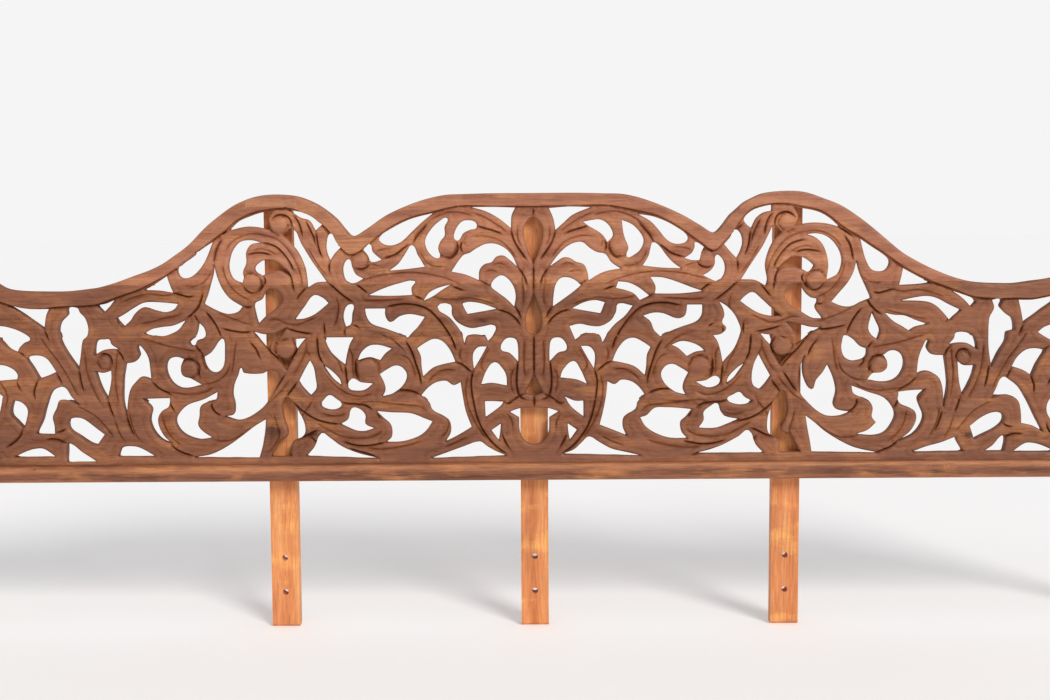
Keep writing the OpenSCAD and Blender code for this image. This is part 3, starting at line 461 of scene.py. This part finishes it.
def volutes(p, t, cut):
    """Adds the domed ends, each with a ring groove that runs dead where the stem joins it; the ring gets
    painted shade and the dome clears it.
    """
    dome_high, dome_sunk = 3.2, 1.0
    # the ring's depth in millimetres, and its place and half width as shares of the radius
    ring_drop, ring_at, ring_half = 2.4, 1.06, 0.17
    for x, z, r, join in BALLS:
        for side in (-1, 1):
            off = np.arctan2(p[:, 1] - z, side * p[:, 0] - x) - math.radians(join)
            turn = np.abs((off + math.pi) % (2 * math.pi) - math.pi) / math.pi
            rho = np.hypot(side * p[:, 0] - x, p[:, 1] - z) / (r * (1.18 - 0.22 * turn))
            near = rho < 1.35
            if near.any():
                away = np.clip((turn - 0.12) / 0.3, 0, 1)
                dome = dome_high * np.sqrt(np.clip(1 - rho ** 2, 0, 1)) - dome_sunk
                groove = np.clip(1 - np.abs(rho - ring_at) / ring_half, 0, 1) * away
                blend = np.clip((1.02 - rho) / 0.2, 0, 1) * np.clip(away + 1.3 * (1 - rho), 0, 1)
                t = t + blend * (FIELD - 1.0 + dome - t) - ring_drop * groove * near
                # painted shade: full in the ring groove, cleared off the dome
                cut = np.maximum(cut * (1 - blend), groove * near)
    return t, cut


def relief(p, d_edge, d_top, d_seam, in_band, d_foot):
    """Thickness at each point, and how much painted shade it gets, from 0 to 1: in cuts, veins, valleys and
    creases, with a dark hair line on the glued seams.
    """
    # how far each feature drops the surface, and over what width, in millimetres
    edge_drop, edge_round = 3.4, 5.2
    valley_drop, valley_from, valley_wide = 0.9, 5.0, 9.5
    foot_drop, foot_wide = 1.6, 3.5
    top_drop, top_round = 2.6, 3.0
    brow_drop, brow_round = 0.9, 1.6
    seam_drop, seam_half = 0.16, 1.1
    # a cut's lower side: its share of the cut's depth, and how soon it dies away
    lean_share, lean_over = 0.62, 6.5
    # the strip left plain along the rail, and the width over which the carving comes in above it
    strip, strip_fade = 4, 7.0
    thinnest = 12.0

    t = np.full(len(p), FIELD) + 0.35 * waves(p, 0.9)
    carved = np.clip((p[:, 1] - RAIL_H - strip) / strip_fade, 0, 1)
    # strands are round-backed: full height a few millimetres in, with a shallow valley where two lie
    # side by side
    t -= edge_drop * quarter(d_edge, edge_round) * (0.35 + 0.65 * carved)
    valley = 0.5 - 0.5 * np.cos(2 * math.pi * np.clip(d_edge - valley_from, 0, valley_wide) / valley_wide)
    t -= valley_drop * valley * carved
    # painted shade in the valley between two strands
    cut = 0.2 * valley ** 3 * carved
    for marks, dark in ((veins, VEIN_PAINTED_SHADE), (cuts, CUT_PAINTED_SHADE)):
        dist, left, fade = marks.look(p)
        groove = np.clip(1 - dist / (marks.half * (0.5 + 0.5 * fade)), 0, 1) * fade
        # the left side of a cut is worked down further, so one strand seems to pass over the other
        lean = (left > -0.3) * np.exp(-dist / lean_over) * fade
        t -= marks.depth * (groove + lean_share * lean)
        # painted shade in each cut and vein, and on the lower side beside a cut
        cut = np.maximum(cut, dark * np.maximum(groove ** 1.3, 0.26 * lean ** 2))
    t, cut = volutes(p, t, cut)
    # the ground is cut back hard along the foot of the crest band, and that crease gets painted shade
    foot = (~in_band) * np.clip(1 - d_foot / foot_wide, 0, 1)
    t -= foot_drop * foot
    cut = np.maximum(cut, 0.8 * foot)
    # the plain crest band stands proud, with worn edges
    band = BAND - 0.3 - 0.12 * waves(p, 4.9)
    band -= top_drop * quarter(d_top, top_round) + brow_drop * quarter(d_foot, brow_round)
    t = np.where(in_band, band, t)
    # inside the band only its foot gets painted shade
    cut = np.where(in_band, 0.25 * np.clip(1 - d_foot / 1.2, 0, 1), cut)
    # a glued seam shows as a hair line
    t -= seam_drop * np.clip(1 - d_seam / seam_half, 0, 1)
    cut = np.maximum(cut, 0.28 * np.clip(1 - d_seam, 0, 1))
    return np.clip(t, thinnest, BAND + 0.4), np.clip(cut, 0, 1)


# ---------------------------------------------------------------- the boards' meshes
def front_points(o):
    """Mesh points of the front: the edges, rows that follow the edges and the cuts, then an even grid."""
    x0, x1, z0, z1 = o.box
    rim_tree = tree_of(o.fine)
    taken = o.rim

    def add(points, gap, clear):
        """Takes the points in the wood that are at least gap from those taken and clear from an edge."""
        nonlocal taken
        x, z = points[:, 0], points[:, 1]
        points = points[(x > x0) & (x < x1) & (z > z0) & (z < z1)]
        if not len(points):
            return
        points = points[inside(points, o.loops)]
        points = thinned(points[nearest(rim_tree, points)[0] > clear], taken, gap)
        taken = np.concatenate([taken, points])

    add(o.rim + 1.1 * o.inward, 0.8, 0.8)
    if o.band:
        across = unit(leftward(np.roll(o.band_pts, -1, 0) - np.roll(o.band_pts, 1, 0)))
        for off in (0.45, -0.45):
            add(o.band_pts[::2] + off * across[::2], 0.6, 0.7)
    for marks in (cuts, veins):
        for off in (0.0, 1.0, -1.0):
            add((marks.pts + off * marks.half * leftward(marks.way))[::2], 0.9, 0.9)
    edge = o.kind != JOINT
    add(o.rim[edge] + 3.2 * o.inward[edge], 1.3, 2.0)
    grid = []
    for i, z in enumerate(np.arange(z0, z1, GRID * ROWS)):
        row = np.arange(x0 + (i % 2) * GRID / 2, x1, GRID)
        grid.append(np.stack([row, np.full(len(row), z)], 1))
    add(np.concatenate(grid), 0.62 * GRID, 1.6)
    return taken


def front_faces(o):
    """The front's points and its triangles, which turn anticlockwise as seen from the front."""
    spots = [Vector((float(x), float(z))) for x, z in front_points(o)]
    verts, _, tris, *_ = delaunay_2d_cdt(spots, o.edges, [], 0, 1e-4, False)
    p = np.array([(v.x, v.y) for v in verts])
    tris = np.array([t for t in tris if len(t) == 3])
    tris = tris[inside(p[tris].mean(1), o.rims)]
    area = doubled_area(p[tris[:, 0]], p[tris[:, 1]], p[tris[:, 2]])
    tris = np.where((area < 0)[:, None], tris[:, ::-1], tris)
    tris = tris[np.abs(area) > 1e-6]
    used, inv = np.unique(tris, return_inverse=True)
    return p[used], inv.reshape(tris.shape)


def border_of(tris):
    """The edges that belong to one triangle only."""
    pairs = np.concatenate([tris[:, [0, 1]], tris[:, [1, 2]], tris[:, [2, 0]]])
    have = set(map(tuple, pairs.tolist()))
    return np.array([q for q in have if (q[1], q[0]) not in have])


def lean_of(o, everywhere, p, border, ids):
    """For each point of the border, the way out of the wood, and how far the wall leans in at the back."""
    out = np.zeros((len(p), 2))
    for i, j in border:
        if not same_joint(p[i], p[j], o.joints, TOUCH):
            away = -leftward(unit((p[j] - p[i])[None]))[0]
            out[i] += away
            out[j] += away
    out = unit(out[ids])
    rim_at = p[ids]
    # a point on a joint moves along the joint only
    for k, at in o.joints:
        held = np.abs(rim_at[:, k] - at) < TOUCH
        along = out[held, 1 - k]
        stretch = np.sign(along) * np.minimum(1 / np.maximum(np.abs(along), 0.1), 1.5)
        out[held, k] = 0
        out[held, 1 - k] = np.where(np.abs(along) > 0.25, stretch, 0)
    # narrow strands lean less: reach is the depth at which the wood is still clear of its other edges
    reach = np.zeros(len(ids))
    for k in (1.5, 3.0, 4.5, 6.0, 7.5, 9.0):
        deep = np.minimum(*(nearest(everywhere[kind], rim_at - out * k)[0] for kind in (FREE, TOP)))
        reach = np.where((deep > 0.8 * k) & (reach >= k - 1.6), k, reach)
    push = np.minimum(0.40 * reach, UNDERCUT)
    push[nearest(everywhere[TOP], rim_at)[0] < 0.3] = 0.0
    return out, push * (1 + 0.10 * np.sin(rim_at[:, 0] / 6.1 + rim_at[:, 1] / 7.3))


def flat_back(rim_at, out, push, links):
    """Triangles over the back's edges; where those would cross, push is lessened in place."""
    for _ in range(12):
        rear = rim_at - out * push[:, None]
        spots = [Vector((float(v[0]), float(v[1]))) for v in rear]
        met, _, tris, source, *_ = delaunay_2d_cdt(spots, links.tolist(), [], 0, 1e-6, True)
        crossings = [v for v, was in zip(met, source) if len(was) != 1]
        if not crossings:
            break
        push[nearest(tree_of(crossings), rim_at)[0] < 6] *= 0.4
    tris = np.array([f for f in tris if len(f) == 3])
    tris = tris[enclosed(rear[tris].mean(1), rear[links[:, 0]], rear[links[:, 1]])]
    area = doubled_area(rear[tris[:, 0]], rear[tris[:, 1]], rear[tris[:, 2]])
    return np.where((area > 0)[:, None], tris[:, ::-1], tris)


def carve(o, everywhere):
    """The board as one closed mesh: carved front, leaning walls and flat back.

    everywhere holds trees of the edges of all the boards, so that the relief runs on over the seams.
    """
    name = o.name
    p, tris = front_faces(o)
    d_edge, d_top, d_foot = (nearest(everywhere[kind], p)[0] for kind in (FREE, TOP, FOOT))
    d_seam = nearest(tree_of(o.fine[o.fine_kind == JOINT]), p)[0]
    # a point on a seam belongs to the band if the wood beside it does
    in_band = np.zeros(len(p), bool)
    if o.band:
        for side in ((-1, -1), (-1, 1), (1, -1), (1, 1)):
            in_band |= inside(p + TOUCH * np.array(side), o.band)
        in_band |= (d_edge < TOUCH) & (d_foot < 1.0)
    t, cut = relief(p, d_edge, d_top, d_seam, in_band, d_foot)

    border = border_of(tris)
    ids = np.unique(border)
    place = np.full(len(p), -1)
    place[ids] = np.arange(len(ids))
    out, push = lean_of(o, everywhere, p, border, ids)
    back = flat_back(p[ids], out, push, place[border])

    # three rings of wall points behind the front: share of the thickness, share of the lean, painted shade on
    # the wall
    rings = [(0.66, 0.22, 0.20), (0.30, 0.66, 0.32), (0.0, 1.0, 0.32)]
    # painted shade per point: the front's from the relief, then each wall ring's; the flat back shares the
    # last ring's
    stack, dark = [np.column_stack([p[:, 0], -t, p[:, 1]])], [cut]
    quads, upper = [], border
    for order, (share, taper, shade) in enumerate(rings):
        q = p[ids] - out * (push * taper)[:, None]
        stack.append(np.column_stack([q[:, 0], -t[ids] * share, q[:, 1]]))
        dark.append(np.full(len(ids), shade))
        lower = len(p) + order * len(ids) + place[border]
        quads.append(np.column_stack([upper[:, 0], lower[:, 0], lower[:, 1], upper[:, 1]]))
        upper = lower
    back = back + len(p) + (len(rings) - 1) * len(ids)
    xyz = np.concatenate(stack)
    xyz[:, 2] += BASE
    faces = tris.tolist() + np.concatenate(quads).tolist() + back.tolist()

    me = bpy.data.meshes.new(name + "_carved")
    me.from_pydata((xyz / MM).tolist(), [], faces)
    me.validate()
    # the painted shade and seam lines go to the material as a point attribute
    attribute = me.attributes.new("cut", "FLOAT", "POINT")
    attribute.data.foreach_set("value", np.concatenate(dark).astype(np.float32))
    me.shade_smooth()
    me.set_sharp_from_angle(angle=math.radians(42))
    piece = bpy.data.objects.new(name + "_carved", me)
    bpy.context.scene.collection.objects.link(piece)
    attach(piece, "root")
    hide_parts(name)
    return piece


# ---------------------------------------------------------------- materials
def linear(r, g, b):
    """An sRGB colour, 0 to 255, as linear RGBA."""
    shares = [c / 255 for c in (r, g, b)]
    return tuple(c / 12.92 if c <= 0.04045 else ((c + 0.055) / 1.055) ** 2.4 for c in shares) + (1.0,)


def tinted(colour, r, g, b):
    return (colour[0] * r, colour[1] * g, colour[2] * b, 1)


class Nodes:
    """A material under construction, with short calls for its nodes."""

    def __init__(self, name):
        self.mat = bpy.data.materials.new(name)
        self.mat.use_nodes = True
        self.tree = self.mat.node_tree
        self.shader = self.tree.nodes["Principled BSDF"]
        self.where = self.make("ShaderNodeTexCoord").outputs["Object"]

    def make(self, kind, **given):
        n = self.tree.nodes.new(kind)
        for key, value in given.items():
            setattr(n, key, value)
        return n

    def put(self, socket, value):
        if isinstance(value, bpy.types.NodeSocket):
            self.tree.links.new(value, socket)
        else:
            socket.default_value = value

    def math(self, op, *values, clamp=False):
        n = self.make("ShaderNodeMath", operation=op, use_clamp=clamp)
        for socket, value in zip(n.inputs, values):
            self.put(socket, value)
        return n.outputs[0]

    def times(self, a, b):
        return self.math("MULTIPLY", a, b)

    def plus(self, a, b, clamp=False):
        return self.math("ADD", a, b, clamp=clamp)

    def minus(self, a, b):
        return self.math("SUBTRACT", a, b)

    def mapped(self, scale, shift=(0, 0, 0), turn=(0, 0, 0), source=None):
        n = self.make("ShaderNodeMapping")
        self.put(n.inputs["Vector"], source or self.where)
        n.inputs["Location"].default_value = shift
        n.inputs["Rotation"].default_value = turn
        n.inputs["Scale"].default_value = scale
        return n.outputs[0]

    def noise(self, vector, detail=3.0, rough=0.5, twist=0.0):
        n = self.make("ShaderNodeTexNoise")
        self.put(n.inputs["Vector"], vector)
        n.inputs["Scale"].default_value = 1.0
        n.inputs["Detail"].default_value = detail
        n.inputs["Roughness"].default_value = rough
        n.inputs["Distortion"].default_value = twist
        return n.outputs["Fac"]

    def bands(self, vector, direction, profile, **given):
        """Parallel waves; given are the node's inputs, with _ for a space."""
        n = self.make("ShaderNodeTexWave", wave_type="BANDS", bands_direction=direction, wave_profile=profile)
        self.put(n.inputs["Vector"], vector)
        for key, value in given.items():
            n.inputs[key.replace("_", " ")].default_value = value
        return n.outputs["Fac"]

    def ramp(self, fac, *stops):
        n = self.make("ShaderNodeValToRGB")
        self.put(n.inputs["Fac"], fac)
        ramp = n.color_ramp
        while len(ramp.elements) < len(stops):
            ramp.elements.new(0.5)
        for element, (at, colour) in zip(ramp.elements, stops):
            element.position = at
            element.color = colour if len(colour) == 4 else (*colour, 1)
        return n.outputs["Color"]

    def level(self, fac, lo, hi, a=0.0, b=1.0):
        n = self.make("ShaderNodeMapRange")
        n.clamp = True
        self.put(n.inputs["Value"], fac)
        for key, value in (("From Min", lo), ("From Max", hi), ("To Min", a), ("To Max", b)):
            self.put(n.inputs[key], value)
        return n.outputs["Result"]

    def mix(self, fac, a, b, blend="MIX"):
        n = self.make("ShaderNodeMix", data_type="RGBA", blend_type=blend)
        self.put(n.inputs["Factor"], fac)
        self.put(n.inputs["A"], a)
        self.put(n.inputs["B"], b)
        return n.outputs["Result"]

    def bump(self, height, strength, distance, onto=None):
        n = self.make("ShaderNodeBump")
        n.inputs["Strength"].default_value = strength
        n.inputs["Distance"].default_value = distance
        self.put(n.inputs["Height"], height)
        if onto is not None:
            self.put(n.inputs["Normal"], onto)
        return n.outputs["Normal"]


def knotted(n, colour, dark, knots):
    """Knots at (x, z, radius), in the carving's millimetres: a dark oval core in a ringed halo."""
    for x, z, size in knots:
        off = n.make("ShaderNodeVectorMath", operation="SUBTRACT")
        n.put(off.inputs[0], n.where)
        off.inputs[1].default_value = (x / MM, 0.0, (z + BASE) / MM)
        far = n.make("ShaderNodeVectorMath", operation="LENGTH")
        n.put(far.inputs[0], n.mapped((0.55, 0.12, 1.0), source=off.outputs[0]))
        wobble = n.minus(n.noise(n.mapped((60, 60, 60)), 2.0), 0.5)
        r = n.plus(far.outputs["Value"], n.times(wobble, 0.006))
        core = n.level(r, size * 0.45 / MM, size / MM, 0.8, 0.0)
        swirl = n.plus(n.times(n.math("SINE", n.times(r, 2600.0)), 0.5), 0.5)
        halo = n.times(n.level(r, size / MM, size * 2.6 / MM, 0.35, 0.0), swirl)
        colour = n.mix(n.math("MAXIMUM", core, halo), colour, tinted(dark, 0.4, 0.33, 0.3))
    return colour


def worked(n, colour, roughness, dark, light):
    """What carving does to the wood's look: painted shade in the cuts, hollows and opening walls, dark hair
    lines at the seams, painted highlights with rubbed wear on the ridges, and short chisel facets.
    """
    cut = n.make("ShaderNodeAttribute", attribute_name="cut").outputs["Fac"]
    painted_light_noise = n.noise(n.mapped((55, 55, 55)), 4.0, 0.6)
    # painted shade: the colour darkens where the mesh's shade mask is high, made uneven by noise
    deep = n.level(n.plus(cut, n.times(n.minus(painted_light_noise, 0.5), 0.30)), 0.22, 0.95)
    colour = n.mix(n.times(deep, 0.82), colour, tinted(dark, 0.50, 0.36, 0.30))
    # painted highlight: convex ridges and edges are lightened, with rubbed wear there too
    ridge_highlight = n.level(n.make("ShaderNodeNewGeometry").outputs["Pointiness"], 0.515, 0.60)
    worn = n.times(ridge_highlight, n.level(painted_light_noise, 0.35, 0.65, 0.25, 0.85))
    colour = n.mix(n.times(worn, 0.50), colour, tinted(light, 1.12, 1.14, 1.12))
    roughness = n.plus(roughness, n.times(deep, 0.16), clamp=True)
    sheen = n.level(cut, 0.04, 0.20, 0.42, 0.05)
    chips = n.make("ShaderNodeTexVoronoi", feature="SMOOTH_F1")
    n.put(chips.inputs["Vector"], n.mapped((95, 150, 120)))
    chips.inputs["Scale"].default_value = 1.0
    chips.inputs["Smoothness"].default_value = 0.35
    soft = n.noise(n.mapped((42, 42, 42)), 2.0)
    facets = n.bump(n.plus(chips.outputs["Distance"], n.times(soft, 0.9)), 0.34, 0.0022)
    return colour, roughness, sheen, facets


def wood(
    name, dark, mid, light,
    grain="X", seed=0.0, carved=False, rough=0.52, knots=(), sawn=0.0, figure=0.8,
):
    """Oiled wood: growth rings stretched along the grain, fibres, pores, stains, and worked surfaces."""
    n = Nodes(name)
    turn = (0, 0, 0) if grain == "X" else (0, math.radians(90), 0)
    base = n.mapped((1, 1, 1), (seed * 3.7, seed * 1.9, seed * 2.3), turn)
    # growth rings: planes across the grain, pushed about by slow noise
    slow = n.noise(n.mapped((3.5, 21, 21), source=base), 3.0, 0.5, 0.6)
    rings = n.bands(
        n.mapped((0.5, 6, 14), source=base), "Z", "SIN",
        Scale=0.9, Distortion=9.0, Detail=2.5, Detail_Scale=0.9, Detail_Roughness=0.55,
    )
    fibre = n.noise(n.mapped((26, 420, 420), source=base), 4.0, 0.65)
    streak = n.noise(n.mapped((8, 110, 110), source=base), 4.0, 0.6)
    pores = n.noise(n.mapped((60, 1500, 1500), source=base), 1.0, 0.4)
    blotch = n.noise(n.mapped((9, 16, 16), source=base), 3.0, 0.55)
    sunny = n.noise(n.mapped((14, 34, 34), (seed, 7.0, seed), turn), 3.0, 0.55)
    tone = n.math("MULTIPLY_ADD", rings, 0.20 * figure, 0.10 - 0.10 * figure)
    tone = n.plus(tone, n.times(slow, 0.44))
    tone = n.plus(tone, n.times(streak, 0.36))
    tone = n.plus(tone, n.times(n.minus(fibre, 0.5), 0.48 if carved else 0.75), clamp=True)
    colour = n.ramp(tone, (0.20, dark), (0.50, mid), (0.82, light))
    # stain and sun variation from place to place: plum-brown patches and golden ones
    patchy = n.ramp(blotch, (0.30, (0.78, 0.76, 0.80)), (0.50, (1.0, 1.0, 1.0)), (0.72, (1.10, 1.08, 1.04)))
    colour = n.mix(0.8, colour, patchy, "MULTIPLY")
    golden = n.times(n.level(sunny, 0.52, 0.68), n.level(fibre, 0.38, 0.60, 0.3, 1.0))
    colour = n.mix(n.times(golden, 0.75), colour, tinted(light, 1.12, 1.08, 0.80))
    speck = n.level(pores, 0.63, 0.72)
    colour = n.mix(n.times(speck, 0.45), colour, tinted(dark, 0.45, 0.4, 0.4))
    colour = knotted(n, colour, dark, knots)
    worn = n.plus(n.times(streak, 0.5), n.times(blotch, 0.5))
    roughness = n.level(worn, 0.3, 0.7, rough - 0.09, rough + 0.13)
    sheen = 0.42
    # carved boards also get painted shade in their cuts and on their walls, and painted highlights on their
    # ridges
    if carved:
        colour, roughness, sheen, surface = worked(n, colour, roughness, dark, light)
    elif sawn:
        saw = n.bands(base, "X", "SAW", Scale=70.0, Distortion=1.2, Detail=2.0)
        surface = n.bump(saw, sawn, 0.0006)
    else:
        surface = n.bump(n.noise(n.mapped((9, 42, 42), source=base), 2.0), 0.22, 0.0016)
    height = n.plus(n.times(fibre, 0.55), n.times(streak, 0.6))
    height = n.minus(height, n.times(speck, 0.5))
    n.put(n.shader.inputs["Base Color"], colour)
    n.put(n.shader.inputs["Roughness"], roughness)
    n.put(n.shader.inputs["Normal"], n.bump(height, 0.34, 0.0007, surface))
    n.put(n.shader.inputs["Specular IOR Level"], sheen)
    n.shader.inputs["Coat Weight"].default_value = 0.04
    n.shader.inputs["Coat Roughness"].default_value = 0.38
    return n.mat


def zinc(name):
    """Bright zinc plate with fine scratches and a few dull spots."""
    n = Nodes(name)
    spots = n.noise(n.mapped((420, 420, 420)), 4.0, 0.6)
    scratch = n.noise(n.mapped((2600, 300, 2600)), 2.0)
    colour = n.ramp(spots, (0.30, (0.30, 0.29, 0.27)), (0.55, (0.60, 0.59, 0.56)), (0.80, (0.74, 0.73, 0.70)))
    n.put(n.shader.inputs["Base Color"], colour)
    n.put(n.shader.inputs["Roughness"], n.level(spots, 0.3, 0.7, 0.48, 0.26))
    n.put(n.shader.inputs["Normal"], n.bump(n.plus(scratch, spots), 0.15, 0.0001))
    n.shader.inputs["Metallic"].default_value = 1.0
    return n.mat


def dress(obj, mat):
    obj.data.materials.clear()
    obj.data.materials.append(mat)


def finish_node(name, mat):
    """Gives a CAD node that stays visible its material."""
    slots = nodes[name].material_slots
    for s in slots:
        s.material = mat
    if not slots:
        nodes[name].data.materials.append(mat)


# each wood's dark, middle and light colours
TEAK = (linear(88, 46, 29), linear(131, 79, 52), linear(166, 108, 75))
CREST = (linear(118, 66, 44), linear(163, 102, 73), linear(192, 132, 98))
PATCH = (linear(132, 78, 54), linear(170, 112, 80), linear(196, 142, 108))
RAIL = (linear(90, 48, 28), linear(143, 88, 58), linear(190, 126, 85))
POST = (linear(184, 102, 54), linear(219, 137, 82), linear(240, 176, 114))
BEECH = (linear(150, 112, 70), linear(202, 166, 116), linear(222, 190, 142))

# ---------------------------------------------------------------- the carved boards
low_knots = [(-368, 71, 11), (-311, 64, 7), (612, 60, 6), (467, 112, 5), (386, 116, 4)]
mid_knots = [(268, 150, 5), (-560, 150, 6)]
upper_knots = [(-70, 225, 5)]
rail_knots = [(-243, 14, 4), (566, 17, 5), (-700, 20, 3)]
# for each board: its material's name, its colours and the rest of its look
BOARDS = {
    "board_low": ("teak_low", TEAK, dict(figure=0.35, seed=1.3, knots=low_knots)),
    "board_mid": ("teak_mid", TEAK, dict(figure=0.35, seed=4.1, knots=mid_knots)),
    "board_upper": ("teak_upper", TEAK, dict(figure=0.35, seed=7.7, knots=upper_knots)),
    "crest_main": ("teak_crest", CREST, dict(seed=2.9)),
    "crest_left": ("teak_crest_left", CREST, dict(seed=9.2)),
    "crest_right": ("teak_crest_right", CREST, dict(seed=5.6)),
    "hump_cap": ("teak_patch", PATCH, dict(seed=11.4)),
}
# the outline of each board
outlines = [outline(name) for name in BOARDS]
everywhere = {
    kind: tree_of(np.concatenate([o.fine[o.fine_kind == kind] for o in outlines])) for kind in (FREE, TOP)
}
everywhere[FOOT] = tree_of(np.concatenate([o.foot for o in outlines]))
for o in outlines:
    name = o.name
    material, colours, look = BOARDS[name]
    piece = carve(o, everywhere)
    dress(piece, wood(material, *colours, carved=True, **look))

# ---------------------------------------------------------------- the pieces that keep their CAD shape
finish_node("rail", wood("teak_rail", *RAIL, seed=3.3, figure=1.7, knots=rail_knots))
for i, side in enumerate(("left", "right")):
    finish_node("stile_" + side, wood("teak_stile_" + side, *TEAK, grain="Z", seed=6.1 + i))
for i, which in enumerate(("centre", "left", "right", "end_left", "end_right")):
    batten = wood("batten_" + which, *POST, grain="Z", seed=12.0 + 1.7 * i, rough=0.6, sawn=0.18)
    finish_node("post_" + which, batten)
steel = zinc("zinc")
beech = wood("beech", *BEECH, seed=2.2, rough=0.6)
for name in nodes:
    if name.startswith("screws"):
        finish_node(name, steel)
    elif name.startswith("dowels"):
        finish_node(name, beech)

# ---------------------------------------------------------------- floor, light and camera
n = Nodes("floor_pale")
pale = n.ramp(n.noise(n.mapped((2, 2, 2))), (0.3, linear(248, 247, 246)), (0.7, linear(250, 249, 248)))
n.put(n.shader.inputs["Base Color"], pale)
n.shader.inputs["Roughness"].default_value = 0.75
n.shader.inputs["Emission Color"].default_value = (1, 1, 1, 1)
n.shader.inputs["Emission Strength"].default_value = 0.13
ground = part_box("post_centre")[0].z
bpy.ops.mesh.primitive_plane_add(size=60, location=(0, 0, ground - 0.0005))
floor = bpy.context.object
floor.name = "floor"
dress(floor, n.mat)


def studio(strength, backdrop):
    """An even pale world, softer on the object than the backdrop that the camera sees behind it."""
    world = bpy.data.worlds.new("studio")
    world.use_nodes = True
    tree = world.node_tree
    lit = tree.nodes["Background"]
    lit.inputs["Color"].default_value = (0.96, 0.97, 1.0, 1)
    lit.inputs["Strength"].default_value = strength
    seen = tree.nodes.new("ShaderNodeBackground")
    seen.inputs["Color"].default_value = backdrop
    blend = tree.nodes.new("ShaderNodeMixShader")
    tree.links.new(tree.nodes.new("ShaderNodeLightPath").outputs["Is Camera Ray"], blend.inputs["Fac"])
    tree.links.new(lit.outputs[0], blend.inputs[1])
    tree.links.new(seen.outputs[0], blend.inputs[2])
    tree.links.new(blend.outputs[0], tree.nodes["World Output"].inputs["Surface"])
    return world


def softlight(name, towards, power, spread, colour):
    """A broad, even light that shines along the given direction; spread is in degrees."""
    lamp = bpy.data.lights.new(name, "SUN")
    lamp.energy = power
    lamp.angle = math.radians(spread)
    lamp.color = colour
    obj = bpy.data.objects.new(name, lamp)
    obj.location = -2.0 * Vector(towards)
    obj.rotation_euler = Vector(towards).to_track_quat("-Z", "Y").to_euler()
    bpy.context.scene.collection.objects.link(obj)


bpy.context.scene.world = studio(0.54, linear(245, 245, 245))
# from the upper right in front, so each strand's shade lies to its lower left
softlight("key", (-0.60, 1.0, -0.78), 1.9, 20, (1.0, 0.98, 0.95))

lens = bpy.data.cameras.new("camera")
lens.lens = 50
lens.sensor_width = 36
camera = bpy.data.objects.new("camera", lens)
camera.location = (-0.0112, -2.0460, 0.5168)
camera.rotation_euler = (math.radians(84.54), math.radians(0.34), 0)
bpy.context.scene.collection.objects.link(camera)
bpy.context.scene.camera = camera
bpy.context.scene.view_settings.view_transform = "Standard"
